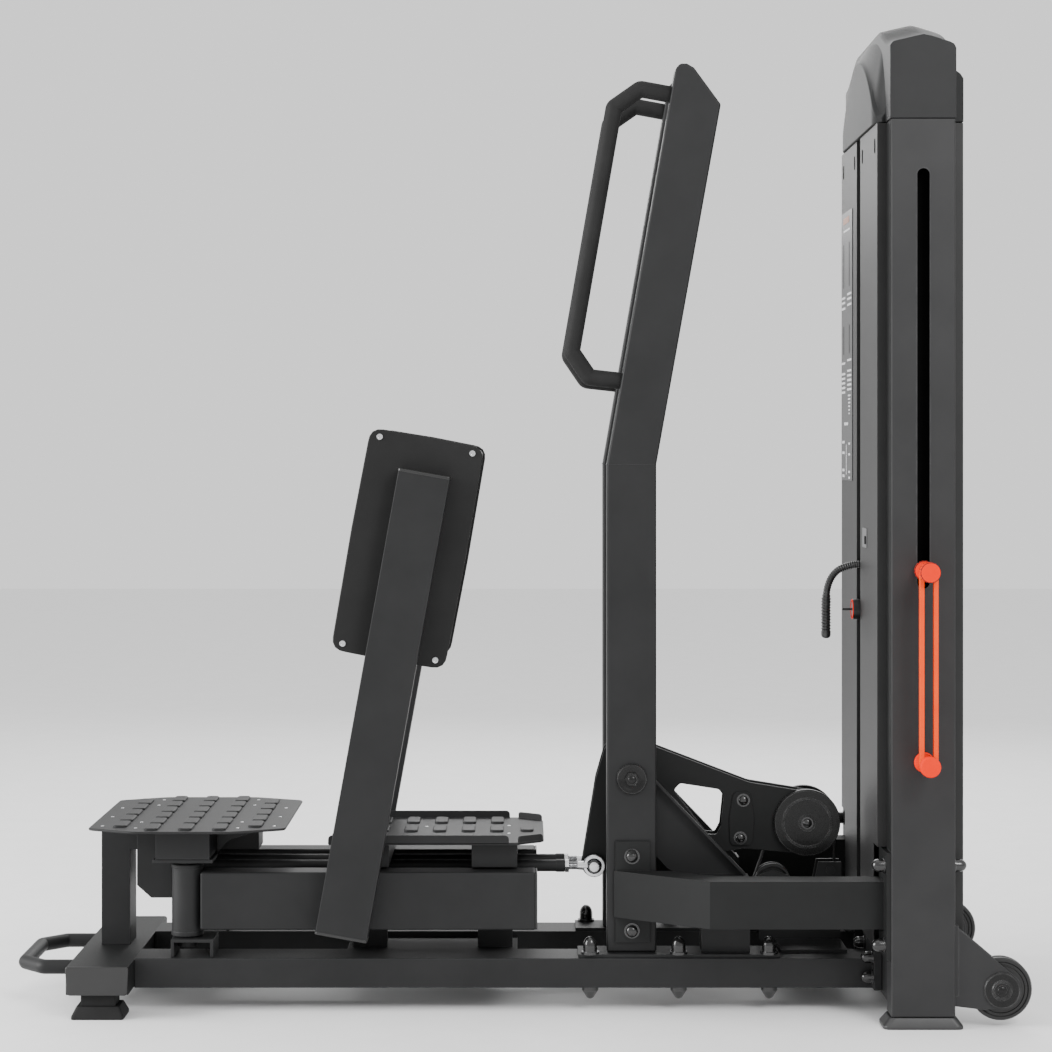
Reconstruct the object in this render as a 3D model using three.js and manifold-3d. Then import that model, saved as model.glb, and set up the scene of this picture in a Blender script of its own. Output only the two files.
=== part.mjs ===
// Standing hip abduction machine with a selectorised weight tower, in millimetres, +Z up.
// +X points to the weight tower, -Y is the near side, and the origin is on the floor at the
// middle of the machine's length and width. Paired pieces are drawn on the far side (+Y) and
// mirrored for the near side.
import * as THREE from 'three';
import { mergeVertices } from 'three/addons/utils/BufferGeometryUtils.js';
import Module from 'manifold-3d';

const wasm = await Module();
wasm.setup();

// ---------- driving dimensions ----------
const GAP = 0.3; // left between pieces that touch
const WALL = 3; // wall of the welded tubes
const DRAIN = 12; // drain hole of a closed tube
const SEGMENTS = 16;

const RAIL = { x0: -731, x1: 699, y0: 87, y1: 182, z0: 46, z1: 102.5 };
const CROSS = { x0: -850, x1: -731 - GAP, y: 254, z0: 47.7, z1: 100.6 };
const COLUMN = { x0: 707, x1: 827, y0: 265, y1: 325, z0: 21 + GAP, z1: 1703 };
const SLOT = { width: 24, z0: 823, z1: 1610 };
const UPRIGHT = { x0: 181, x1: 276.6, y0: 95, y1: 155, z0: 108.8 + GAP, bendZ: 1054 };
const UPRIGHT_TOP = [[402, 1753], [350, 1824], [336, 1832], [323, 1832], [314, 1822]];
const PIVOT = { x: -635, y: 130, r: 30.5, shaftR: 15, z0: 139, z1: 279, bridge: [-662, -580] };
const BEAM = { x0: -606, x1: 43, y0: 108, y1: 168, z0: 154, z1: 266 };
const ARM_LEAN = THREE.MathUtils.degToRad(10.2);
const ARM = { x: -250.5, z: 593, width: 100, length: 899, y0: 168 + GAP, y1: 218 };
const PAD = { x: -205, z: 892, width: 228, length: 440, corner: 25, board: 12, foam: 48 };
const CRANK = { reach: 99.6, back: THREE.MathUtils.degToRad(17.5), z0: 228, z1: 240 };
const ROD = { y: 35, z: 257, r: 11.5, eyeX: 159, eyeR: 22, bodyEndX: 101 };
const SHAFT = { x: 229, z: 445, r: 12 };
const LEVER = { y0: 18, y1: 26, hubR: 26, guardR: 66, guardY: 40 };
const LEVER_PULLEY = { x: 582, z: 342, r: 62, groove: 54, width: 26 };
const BASE_PULLEY = { x: 516, z: 220, r: 37, groove: 33, width: 22 };
const FLOOR_BOLTS = { xs: [148, 319, 494], y: 165 }; // of each upright's base plate
const LEVER_BOLTS = [[456, 386], [450, 311]];
const CABLE_R = 3;
const CABLE_CLEAR = 1.2; // left between the cable and a groove's bottom
const STACK = { x0: 732, x1: 802, y: 150, pitch: 46.5, plate: 44, topZ: 857, lower: 10 };
const GUIDE = { x: 767, y: 95, r: 9 };
const RISE_X = 835; // where the cable climbs behind the stack
const TOWER_PULLEY = { r: 39, groove: 34, width: 22, lowZ: 221, highZ: 1752 };
const PEG = { x: 768, r: 8, barrelR: 17, reach: 405, discR: 19, topZ: 857, lowZ: 499 };
const BAND = { r: 17.5, inner: 8.5, y0: 373, y1: 387 };
const WHEEL = { x: 915, y: 294, z: 71, r: 59, width: 34, axleR: 8 };
const TETHER = { r: 7.5, gripR: 10, grip: 56 };
const STEP = { z0: 350, z1: 355 };
const FOOT_PLATE = {
  z0: 318, z1: 323, flangeZ: 337, y: 165, x0: -359, x1: 7, toeX: 59, toeY: 128,
};
const FOOT_FRAME = { supports: [[-331, -243], [-82, 7]], floor: 92, channel: 270, y: 135, post: 16 };
const PANEL = { x0: 689, y0: 26, z0: 132, z1: 1702, sheet: 2 };
const CAP = {
  x0: 705, x1: 829, z0: 1703 + GAP, shoulder: 1847, ridgeX: 768, ridgeZ: 1861, rise: 46,
};
const HOOD = { front: 20, back: 24, frontZ: 1789, backZ: 1797, climb: 1.55, level: 210 };

// ---------- materials ----------
const paint = (color, roughness = 0.55, metalness = 0.3) =>
  new THREE.MeshStandardMaterial({ color, roughness, metalness });
const COAT = paint(0x36373a);
const SHEET = paint(0x3d3e41, 0.6);
const RUBBER = paint(0x17181a, 0.9, 0);
const VINYL = paint(0x1d1e20, 0.7, 0);
const PLASTIC = paint(0x1b1c1e, 0.5, 0);
const STEEL = paint(0xb9bcc0, 0.3, 1);
const ORANGE = paint(0xf05a28, 0.5, 0);
const IRON = paint(0x2a2b2d, 0.6, 0.4);

// ---------- solids ----------
function solid(geometry) {
  const plain = geometry.clone();
  plain.deleteAttribute('normal');
  plain.deleteAttribute('uv');
  const merged = mergeVertices(plain, 1e-4);
  return new wasm.Manifold(new wasm.Mesh({
    numProp: 3,
    vertProperties: merged.attributes.position.array,
    triVerts: new Uint32Array(merged.index.array),
  }));
}

function geometryOf(shape) {
  const mesh = shape.getMesh();
  const geometry = new THREE.BufferGeometry();
  geometry.setAttribute('position', new THREE.BufferAttribute(mesh.vertProperties, 3));
  geometry.setIndex(new THREE.BufferAttribute(mesh.triVerts, 1));
  geometry.computeVertexNormals();
  return geometry;
}

const join = (...shapes) => shapes.reduce((whole, next) => whole.add(next));
const cut = (shape, ...tools) => tools.reduce((whole, tool) => whole.subtract(tool), shape);

function box(x0, x1, y0, y1, z0, z1) {
  const geometry = new THREE.BoxGeometry(x1 - x0, y1 - y0, z1 - z0);
  return solid(geometry.translate((x0 + x1) / 2, (y0 + y1) / 2, (z0 + z1) / 2));
}

// A box whose top is drawn in by inX and inY on each side.
function taper(x0, x1, y0, y1, z0, z1, inX, inY) {
  const geometry = new THREE.BoxGeometry(x1 - x0, y1 - y0, z1 - z0);
  const points = geometry.attributes.position;
  for (let i = 0; i < points.count; i++) {
    if (points.getZ(i) < 0) continue;
    points.setX(i, points.getX(i) - Math.sign(points.getX(i)) * inX);
    points.setY(i, points.getY(i) - Math.sign(points.getY(i)) * inY);
  }
  return solid(geometry.translate((x0 + x1) / 2, (y0 + y1) / 2, (z0 + z1) / 2));
}

const outline = (points) => new THREE.Shape(points.map(([u, v]) => new THREE.Vector2(u, v)));
const extruded = (points, depth) =>
  new THREE.ExtrudeGeometry(outline(points), { depth, bevelEnabled: false });

// Outlines in the XZ, XY and YZ planes, made into plates.
const plateY = (points, y0, y1) =>
  solid(extruded(points, y1 - y0).rotateX(Math.PI / 2).translate(0, y1, 0));
const plateZ = (points, z0, z1) => solid(extruded(points, z1 - z0).translate(0, 0, z0));

const AXIS_TURN = {
  x: (g) => g.rotateZ(-Math.PI / 2),
  y: (g) => g,
  z: (g) => g.rotateX(Math.PI / 2),
};

function round(axis, x, y, z, r, length, segments = SEGMENTS, r2 = r) {
  const geometry = new THREE.CylinderGeometry(r2, r, length, segments);
  return solid(AXIS_TURN[axis](geometry).translate(x, y, z));
}

// A ring or pulley about the Y axis, from a closed profile of [radius, y] points.
function turned(profile, x, y, z, segments = SEGMENTS) {
  const points = profile.map(([r, h]) => new THREE.Vector2(r, h));
  return solid(new THREE.LatheGeometry(points, segments).translate(x, y, z));
}

function pulley({ r, groove, width }, bore, x, z) {
  const half = width / 2;
  const rim = half - 3;
  return turned([
    [bore, -half], [r, -half], [r, -rim], [groove, -CABLE_R - 0.5], [groove, CABLE_R + 0.5],
    [r, rim], [r, half], [bore, half], [bore, -half],
  ], x, 0, z);
}

// A closed outline moved inwards by d (the points run anticlockwise).
function inset(points, d) {
  const count = points.length;
  const edge = (i) => {
    const [ax, ay] = points[i % count];
    const [bx, by] = points[(i + 1) % count];
    const length = Math.hypot(bx - ax, by - ay);
    const normal = [-(by - ay) / length, (bx - ax) / length];
    return { normal, offset: normal[0] * ax + normal[1] * ay + d };
  };
  return points.map((_, i) => {
    const a = edge((i + count - 1) % count);
    const b = edge(i);
    const det = a.normal[0] * b.normal[1] - a.normal[1] * b.normal[0];
    return [
      (a.offset * b.normal[1] - b.offset * a.normal[1]) / det,
      (a.normal[0] * b.offset - b.normal[0] * a.offset) / det,
    ];
  });
}

// A closed box tube with a drain hole in its underside.
function drainedBox(x0, x1, y0, y1, z0, z1) {
  const inside = box(x0 + WALL, x1 - WALL, y0 + WALL, y1 - WALL, z0 + WALL, z1 - WALL);
  const drain = round('z', (x0 + x1) / 2, (y0 + y1) / 2, z0 + WALL / 2, DRAIN / 2, WALL * 2, 8);
  return cut(box(x0, x1, y0, y1, z0, z1), inside, drain);
}

// A path of straight runs joined by bends of one radius.
function bentPath(points, radius) {
  const corners = points.map((p) => new THREE.Vector3(...p));
  const path = new THREE.CurvePath();
  let start = corners[0];
  for (let i = 1; i < corners.length - 1; i++) {
    const before = corners[i - 1].clone().sub(corners[i]).setLength(radius).add(corners[i]);
    const after = corners[i + 1].clone().sub(corners[i]).setLength(radius).add(corners[i]);
    path.add(new THREE.LineCurve3(start, before));
    path.add(new THREE.QuadraticBezierCurve3(before, corners[i], after));
    start = after;
  }
  path.add(new THREE.LineCurve3(start, corners[corners.length - 1]));
  return path;
}

function tube(path, r, steps, sides = 12) {
  const circle = [];
  for (let i = 0; i < sides; i++) {
    const angle = (i / sides) * 2 * Math.PI;
    circle.push([r * Math.cos(angle), r * Math.sin(angle)]);
  }
  const settings = { steps, extrudePath: path, bevelEnabled: false };
  return solid(new THREE.ExtrudeGeometry(outline(circle), settings));
}

// Points of an arc about (x, z), angles in degrees.
function arcPoints(x, z, r, from, to, steps) {
  const points = [];
  for (let i = 0; i <= steps; i++) {
    const angle = THREE.MathUtils.degToRad(from + ((to - from) * i) / steps);
    points.push([x + r * Math.cos(angle), z + r * Math.sin(angle)]);
  }
  return points;
}

function roundedRect(width, height, r) {
  const w = width / 2 - r;
  const h = height / 2 - r;
  const corners = [[w, h, 0], [-w, h, 90], [-w, -h, 180], [w, -h, 270]];
  return corners.flatMap(([x, y, from]) => arcPoints(x, y, r, from, from + 90, 4));
}

// Closed skin over a row of outlines that have the same number of points.
function loft(sections) {
  const count = sections[0].length;
  const position = sections.flat(2);
  const index = [];
  for (let s = 0; s < sections.length - 1; s++) {
    for (let i = 0; i < count; i++) {
      const a = s * count + i;
      const b = s * count + ((i + 1) % count);
      index.push(a, a + count, b, b, a + count, b + count);
    }
  }
  const last = (sections.length - 1) * count;
  for (let i = 1; i < count - 1; i++) {
    index.push(0, i, i + 1);
    index.push(last, last + i + 1, last + i);
  }
  const geometry = new THREE.BufferGeometry();
  geometry.setAttribute('position', new THREE.Float32BufferAttribute(position, 3));
  geometry.setIndex(index);
  return solid(geometry);
}

// ---------- the scene graph ----------
const machine = new THREE.Group();
const side = { near: new THREE.Group(), far: new THREE.Group() };
side.near.scale.y = -1;
machine.add(side.near, side.far);

function addMesh(parent, name, shape, material) {
  const mesh = new THREE.Mesh(geometryOf(shape), material.clone());
  mesh.name = name;
  parent.add(mesh);
  return mesh;
}

const addSingle = (name, shape, material) => addMesh(machine, name, shape, material);

function addPair(name, shape, material, place = () => {}) {
  for (const key of ['near', 'far']) place(addMesh(side[key], `${key}_${name}`, shape, material));
}

// ---------- base frame ----------
const domedCap = (axis, x, y, z, r, height, sign) => {
  const offset = { x: [1, 0, 0], y: [0, 1, 0], z: [0, 0, 1] }[axis].map((v) => v * sign);
  const at = (h) => [x + offset[0] * h, y + offset[1] * h, z + offset[2] * h];
  const [base, tip] = sign > 0 ? [r, r * 0.45] : [r * 0.45, r];
  return join(
    round(axis, ...at(height * 0.3), r, height * 0.6, 8),
    round(axis, ...at(height * 0.8 - 0.01), base, height * 0.4, 8, tip),
  );
};

function rail() {
  const { x0, x1, y0, y1, z0, z1 } = RAIL;
  const body = drainedBox(x0, x1 - 7.5, y0, y1, z0, z1);
  const flange = box(x1 - 8, x1 + 8 - GAP, 70, 206, z0, 128);
  return join(body, flange, domedCap('x', x1 - 8, 194, 70, 11, 22, -1));
}

function baseFoot() {
  const x = (CROSS.x0 + CROSS.x1) / 2;
  const y = 215;
  const stub = box(x - 33, x + 33, y - 26, y + 26, 23, CROSS.z0 - GAP);
  return join(taper(x - 50, x + 50, y - 38, y + 38, 0, 24, 9, 8), stub);
}

function liftHandle() {
  const z = 76;
  const x = CROSS.x0 - GAP;
  const route = [[x, -130, z], [-916, -130, z], [-960, -84, z], [-960, 84, z], [-916, 130, z],
    [x, 130, z]];
  return tube(bentPath(route, 24), 14, 28, 8);
}

function platformFrame() {
  const post = drainedBox(-818, -761.5, -40, 40, CROSS.z1 + GAP, 345);
  const spine = box(-762, -690, -40, 40, 290, 345);
  const cross = drainedBox(-691, -587, -175, 175, 292, 345);
  const spineEnd = box(-588, -506, -40, 40, 290, 345);
  const stopPlate = [[-739, 229], [-711, 204], [-671, 204], [-671, 344], [-739, 344]];
  const stops = [plateY(stopPlate, 90, 96), plateY(stopPlate, -96, -90)];
  const beam = box(-739, -671, -96, 96, 338, 344);
  return join(post, spine, cross, spineEnd, beam, ...stops);
}

function stepPlatform() {
  const edge = [[-819, 190], [-819, -190], [-727, -236], [-540, -236], [-439, -190], [-439, 190],
    [-540, 236], [-727, 236]];
  const top = plateZ(edge, STEP.z0, STEP.z1);
  return join(top, box(-812, -446, -36, 36, 345 + GAP, STEP.z0 + 1));
}

// A bridge that stands on the rail and carries the pivot's shaft.
function pivotMount() {
  const { x, y, shaftR, z0, z1, bridge: [left, right] } = PIVOT;
  const top = z0 - 2;
  const reach = 42;
  const plate = box(left, right, y - reach, y + reach, top - 6, top);
  const legs = [left, right - 6].map((x0) =>
    box(x0, x0 + 6, y - reach, y + reach, RAIL.z1 + GAP, top - 5));
  const shaftTop = z1 + 12;
  const shaft = round('z', x, y, (top - 3 + shaftTop) / 2, shaftR, shaftTop - top + 3);
  const washer = round('z', x, y, top + 0.6, 24, 2);
  const collar = round('z', x, y, shaftTop - 5.5, 27, 11);
  const nut = round('z', x, y, top - 12, 20, 14);
  return join(plate, ...legs, shaft, washer, collar, nut);
}

function footPlate() {
  const { z0, z1, flangeZ, y, x0, x1, toeX, toeY } = FOOT_PLATE;
  const edge = [[x0, -y], [x1, -y], [toeX, -toeY], [toeX, toeY], [x1, y], [x0, y]];
  const deck = plateZ(edge, z0, z1);
  const flanges = [-1, 1].map((s) => box(x0, x1 - 16, s * (y - 2) - 2, s * (y - 2) + 2, z0, flangeZ));
  return join(deck, ...flanges);
}

// Two channels, each on a hollow post, on one plate between the rails.
function footPlateFrame() {
  const { supports, floor, channel, y, post } = FOOT_FRAME;
  const top = FOOT_PLATE.z0 - GAP;
  const [[first], [, last]] = supports;
  const plate = box(first, last, GAP - RAIL.y0, RAIL.y0 - GAP, floor - 6, floor);
  const channels = supports.map(([x0, x1]) => cut(box(x0, x1, -y, y, channel, top),
    box(x0 + WALL, x1 - WALL, WALL - y, y - WALL, channel - 1, top - WALL)));
  const posts = supports.map(([x0, x1]) =>
    box(x0 + 10, x1 - 10, -post, post, floor - 1, top - 1));
  const hollows = supports.map(([x0, x1]) =>
    box(x0 + 10 + WALL, x1 - 10 - WALL, WALL - post, post - WALL, floor - 10, top - WALL));
  return cut(join(plate, ...channels, ...posts), ...hollows);
}

// ---------- uprights, handles and braces ----------
function uprightTube() {
  const { x0, x1, y0, y1, z0, bendZ } = UPRIGHT;
  const edge = [[x0, z0], [x1, z0], [x1, bendZ], ...UPRIGHT_TOP, [x0, bendZ]];
  const hollow = inset(edge, WALL).map(([x, z]) => [x, z < z0 + 2 * WALL ? z0 - 5 : z]);
  const wall = cut(plateY(edge, y0, y1), plateY(hollow, y0 + WALL, y1 - WALL));
  return cut(wall, round('y', SHAFT.x, (y0 + y1) / 2, SHAFT.z, SHAFT.r + 0.6, 80));
}

function uprightMount() {
  const { y0, y1 } = UPRIGHT;
  const base = box(125, 514, 90, 175, RAIL.z1 + GAP, 108.8);
  const post = box(364, 458, y0, y1, 108, 252);
  const web = [[277 + GAP, 289], [300, 264], [330, 248], [458, 248], [452, 256], [277 + GAP, 437]];
  const gusset = plateY(web, 97, 103);
  const flange = plateY([[278, 437], [452, 256], [450, 251], [278, 431]], 97, 122);
  const caps = FLOOR_BOLTS.xs.map((x) => domedCap('z', x, FLOOR_BOLTS.y, 108, 12, 30, 1));
  return join(base, post, gusset, flange, ...caps);
}

function grabHandle() {
  const y = UPRIGHT.y0 + 30;
  const route = [[306.5, y, 1775], [247, y, 1786], [195.5, y, 1750], [113, y, 1274],
    [147, y, 1224], [209.5, y, 1217]];
  const [topX, topZ] = UPRIGHT_TOP.at(-1);
  const behind = [[UPRIGHT.x0 - GAP, 900], [420, 900], [420, topZ + 10], [topX - GAP, topZ],
    [UPRIGHT.x0 - GAP, UPRIGHT.bendZ]];
  return cut(tube(bentPath(route, 14), 16, 40, 10), plateY(behind, y - 40, y + 40));
}

function brace() {
  const z0 = 178;
  const z1 = 268;
  const edge = [[194, 160.5], [300, 160.5], [389.6, 223], [700, 223], [700, 283], [371, 283]];
  const hollow = plateZ(inset(edge, WALL), z0 + WALL, z1 - WALL);
  const drain = box(600, 612, 247, 259, z0 - 1, z0 + WALL + 1);
  const pad = box(197, 264, UPRIGHT.y1 + GAP, 161.3, 129, 325);
  const flange = box(699, COLUMN.x0 - GAP, 215, 322, 126, 328);
  const bolts = [150, 300].flatMap((z) => [
    domedCap('y', 229, 161, z, 10, 12, 1),
    domedCap('x', 699.5, 300, z, 10, 18, -1),
  ]);
  return join(cut(plateZ(edge, z0, z1), hollow, drain), pad, flange, ...bolts);
}

// ---------- weight tower ----------
function column() {
  const { x0, x1, y0, y1, z0, z1 } = COLUMN;
  const inside = box(x0 + WALL, x1 - WALL, y0 + WALL, y1 - WALL, z0 - 1, z1 + 1);
  const mid = (x0 + x1) / 2;
  const half = SLOT.width / 2;
  const slot = plateY([
    ...arcPoints(mid, SLOT.z1 - half, half, 0, 180, 10),
    ...arcPoints(mid, SLOT.z0 + half, half, 180, 360, 10),
  ], y0 - 5, y1 + 5);
  const nose = arcPoints(WHEEL.x, WHEEL.z, 32, -110, 65, 10);
  const cheek = [[x1 - 1, 193], [x1 - 1, 41], [882, 36], ...nose];
  const outer = WHEEL.y + WHEEL.width / 2 + 2;
  const inner = WHEEL.y - WHEEL.width / 2 - 2;
  return join(
    cut(box(x0, x1, y0, y1, z0, z1), inside, slot),
    plateY(cheek, outer, outer + 5), plateY(cheek, inner - 5, inner),
    round('y', WHEEL.x, WHEEL.y, WHEEL.z, WHEEL.axleR, 66),
    domedCap('y', WHEEL.x, outer + 5, WHEEL.z, 12, 9, 1),
    domedCap('x', x1 - 0.5, 300, 302, 10, 18, 1),
  );
}

const columnFoot = () =>
  taper(COLUMN.x0 - 15, COLUMN.x1 + 15, COLUMN.y0 - 8, COLUMN.y1 + 8, 0, 21, 12, 6);

function towerBase() {
  const y = COLUMN.y0 - GAP;
  const member = drainedBox(COLUMN.x0 + GAP, 817, -y, y, 40, 120);
  const shelf = cut(box(732, 812, -160, 160, 262, 270), ...guideBores(250, 280));
  const legs = [-1, 1].map((s) => box(732, 804, 155 * s - 4, 155 * s + 4, 119, 263));
  return join(member, shelf, ...legs);
}

function towerTop() {
  const y = COLUMN.y0 - GAP;
  const x = RISE_X - TOWER_PULLEY.groove;
  const member = cut(box(733, 820, -y, y, 1642, 1700), box(736, 817, -y - 1, y + 1, 1645, 1697),
    box(740, 792, -16, 16, 1630, 1710));
  const cheeks = [[-22, -16], [16, 22]].map(([y0, y1]) => box(x - 14, x + 14, y0, y1, 1699, 1790));
  const axle = round('y', x, 0, TOWER_PULLEY.highZ, 7, 42, 12);
  return join(member, ...cheeks, axle);
}

function towerCap() {
  const { x0, x1, z0, shoulder, ridgeX, ridgeZ, rise } = CAP;
  const end = COLUMN.y1;
  const stations = [-end, -290, -250, -210, -170, -130, 0, 130, 170, 210, 250, 290, end];
  const lift = (y) => {
    const out = Math.max(0, (Math.abs(y) - 130) / (end - 130));
    return rise * (1 - out * out * (3 - 2 * out));
  };
  const shell = (inX, inZ, reach, bottom) => loft(stations.map((y) => {
    const up = lift(y) - inZ;
    return [[x0 + inX, bottom], [x1 - inX, bottom], [x1 - inX, shoulder - 9 + up],
      [x1 - inX - 9, shoulder + up], [ridgeX, ridgeZ + up], [x0 + inX, shoulder + up]]
      .map(([x, z]) => [x, (y * reach) / end, z]);
  }));
  const width = COLUMN.y0 - GAP;
  const hoodStations = [-width, -HOOD.level, -170, -130, 0, 130, 170, HOOD.level, width];
  const hood = (section) =>
    loft(hoodStations.map((y) => section(y).map(([x, z]) => [x, y, z])));
  const frontHood = hood((y) => {
    const x = Math.abs(y) > HOOD.level ? x0 - 2 : x0 - HOOD.front;
    const top = HOOD.frontZ + HOOD.climb * lift(y);
    return [[x, z0], [x0 + 4, z0], [x0 + 4, top + 18], [x, top]];
  });
  const backX = x1 + HOOD.back;
  const backHood = hood(() =>
    [[x1 - 4, z0], [backX, z0], [backX, HOOD.backZ], [x1 - 4, HOOD.backZ + 15]]);
  const inner = shell(WALL, WALL + 1, end - WALL, z0 - 5);
  const hollow = box(x0 - HOOD.front + WALL, backX - WALL, WALL - HOOD.level, HOOD.level - WALL,
    z0 - 5, 1785);
  return cut(join(shell(0, 0, end, z0), frontHood, backHood), inner, hollow);
}

function frontPanel() {
  const { x0, y0, z0, z1, sheet } = PANEL;
  const y1 = COLUMN.y0 - GAP;
  const edge = [[x0, y0], [730, y0], [730, y0 + sheet], [x0 + sheet, y0 + sheet],
    [x0 + sheet, y1 - sheet], [725, y1 - sheet], [725, y1], [x0, y1]];
  const notch = box(x0 - 1, 740, 212, y1 + 1, z0 - 1, 331); // clears the brace's flange
  return cut(plateZ(edge, z0, z1), notch);
}

function rearPanel() {
  const y = COLUMN.y0 - GAP;
  const { sheet, z0, z1 } = PANEL;
  const edge = [[852, -y], [852, y], [822, y], [822, y - sheet], [852 - sheet, y - sheet],
    [852 - sheet, sheet - y], [822, sheet - y], [822, -y]];
  return plateZ(edge, z0, z1);
}

const weightPlate = (z, half = STACK.plate / 2) =>
  box(STACK.x0, STACK.x1, -STACK.y, STACK.y, z - half, z + half);
const guideBores = (z0, z1) => [-1, 1].map((s) =>
  round('z', GUIDE.x, s * GUIDE.y, (z0 + z1) / 2, GUIDE.r + 1, z1 - z0, 12));

function lowerPlates() {
  const first = STACK.topZ - 3 * STACK.pitch;
  const plates = [];
  for (let i = 0; i < STACK.lower; i++) plates.push(weightPlate(first - i * STACK.pitch));
  const bottom = first - (STACK.lower - 1) * STACK.pitch;
  const core = box(STACK.x0 + 5, STACK.x1 - 5, 5 - STACK.y, STACK.y - 5, bottom - 22 - 3, first);
  const top = first + STACK.plate / 2;
  const stemHole = round('z', GUIDE.x, 0, top - 80, 12, 170, 12);
  return cut(join(core, ...plates), ...guideBores(bottom - 60, top + 10), stemHole);
}

function stackCarriage() {
  const { topZ, pitch } = STACK;
  const lifted = [0, 1, 2].map((i) => weightPlate(topZ - i * pitch, i ? STACK.plate / 2 : 20));
  const core = box(STACK.x0 + 5, STACK.x1 - 5, 5 - STACK.y, STACK.y - 5, topZ - 2 * pitch, topZ);
  const block = cut(join(...lifted, core), ...guideBores(topZ - 3 * pitch, topZ + 40),
    round('x', 740, 0, topZ - 2 * pitch, 6, 80, 12));
  const pegs = [-1, 1].flatMap((s) => [
    alongY(PEG.topZ, PEG.r, s * (STACK.y - 10), s * PEG.reach),
    ...pegEnds(PEG.topZ, s, COLUMN.y1 + 3),
  ]);
  const socket = round('z', GUIDE.x, 0, 885, 10, 30, 12);
  const stem = round('z', GUIDE.x, 0, 720, 9, 60, 12);
  return join(block, ...pegs, socket, stem);
}

// A bar at the pegs' x, from y0 to y1.
const alongY = (z, r, y0, y1, segments = 12) =>
  round('y', PEG.x, (y0 + y1) / 2, z, r, Math.abs(y1 - y0), segments);

// A peg's inner disc, its barrel, and the outer disc that keeps the band on.
const pegEnds = (z, s, start) => [
  alongY(z, PEG.discR, s * start, s * (start + 6), 20),
  alongY(z, PEG.barrelR, s * (start + 5), s * (BAND.y0 - 1)),
  alongY(z, PEG.discR, s * (BAND.y1 + 1), s * PEG.reach, 20),
];

function lowerPeg() {
  const start = COLUMN.y1 + GAP;
  return join(...pegEnds(PEG.lowZ, 1, start), alongY(PEG.lowZ, PEG.r, start, PEG.reach));
}

function band() {
  const loop = (r) => [
    ...arcPoints(PEG.x, PEG.topZ, r, 0, 180, 10),
    ...arcPoints(PEG.x, PEG.lowZ, r, 180, 360, 10),
  ];
  const hole = plateY(loop(BAND.inner), BAND.y0 - 1, BAND.y1 + 1);
  return cut(plateY(loop(BAND.r), BAND.y0, BAND.y1), hole);
}

function selectorPin() {
  const z = STACK.topZ - 2 * STACK.pitch;
  return join(round('x', 684, 0, z, 20, 18), round('x', 666, 0, z, 2.5, 20, 8),
    round('x', 732, 0, z, 4.8, 80, 12), round('x', 694, 0, z, 9, 4, 16));
}

// The lanyard that hangs from the carriage, in front of the panel gap, with a grip on its end.
const TETHER_ROUTE = [
  [718, 12, 853], [692, 12, 853], [672, 14, 850], [652, 19, 842], [638, 25, 826],
  [630, 31, 802], [628, 34, 772], [628, 35, 742], [628, 35, 712],
];
function tether() {
  const route = TETHER_ROUTE.map((point) => new THREE.Vector3(...point));
  const [x, y, end] = TETHER_ROUTE.at(-1);
  const grip = round('z', x, y, end + 19, TETHER.gripR, TETHER.grip, 12);
  return join(tube(new THREE.CatmullRomCurve3(route), TETHER.r, 24, 10), grip);
}

// ---------- swing arms and pads ----------
function swingBeam() {
  const { x, y, r, shaftR, z0, z1 } = PIVOT;
  const bore = round('z', x, y, 200, shaftR + 1.5, 200);
  const pipe = round('z', x, y, (z0 + z1) / 2, r, z1 - z0);
  const beam = drainedBox(BEAM.x0, BEAM.x1, BEAM.y0, BEAM.y1, BEAM.z0, BEAM.z1);
  const pin = crankPin();
  const along = [pin.x - x, pin.y - y].map((v) => v / CRANK.reach);
  const across = [-along[1] * 20, along[0] * 20];
  const arm = plateZ([
    [x + across[0], y + across[1]], [x - across[0], y - across[1]],
    [pin.x - across[0], pin.y - across[1]], [pin.x + across[0], pin.y + across[1]],
  ].reverse(), CRANK.z0, CRANK.z1);
  const eye = round('z', pin.x, pin.y, (CRANK.z0 + CRANK.z1) / 2, 20, CRANK.z1 - CRANK.z0);
  const nut = round('z', pin.x, pin.y, CRANK.z0 - 5, 12, 11, 6);
  return cut(join(pipe, beam, arm, eye, nut), bore);
}

// Far-side crank pin at rest, set back so that the rod stays nearly straight over the swing.
function crankPin() {
  return {
    x: PIVOT.x - CRANK.reach * Math.sin(CRANK.back),
    y: PIVOT.y - CRANK.reach * Math.cos(CRANK.back),
  };
}

function padArmTube() {
  const half = ARM.length / 2;
  const w = ARM.width / 2;
  const inside = box(WALL - w, w - WALL, ARM.y0 + WALL, ARM.y1 - WALL, WALL - half, half - WALL);
  const drain = round('z', 0, (ARM.y0 + ARM.y1) / 2, -half, DRAIN / 2, WALL * 3, 8);
  return cut(box(-w, w, ARM.y0, ARM.y1, -half, half), inside, drain);
}

const leanAt = (x, z) => (mesh) => {
  mesh.position.set(x, 0, z);
  mesh.rotation.y = ARM_LEAN;
};

const padSlab = (y0, y1) => plateY(roundedRect(PAD.width, PAD.length, PAD.corner), y0, y1);

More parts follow.
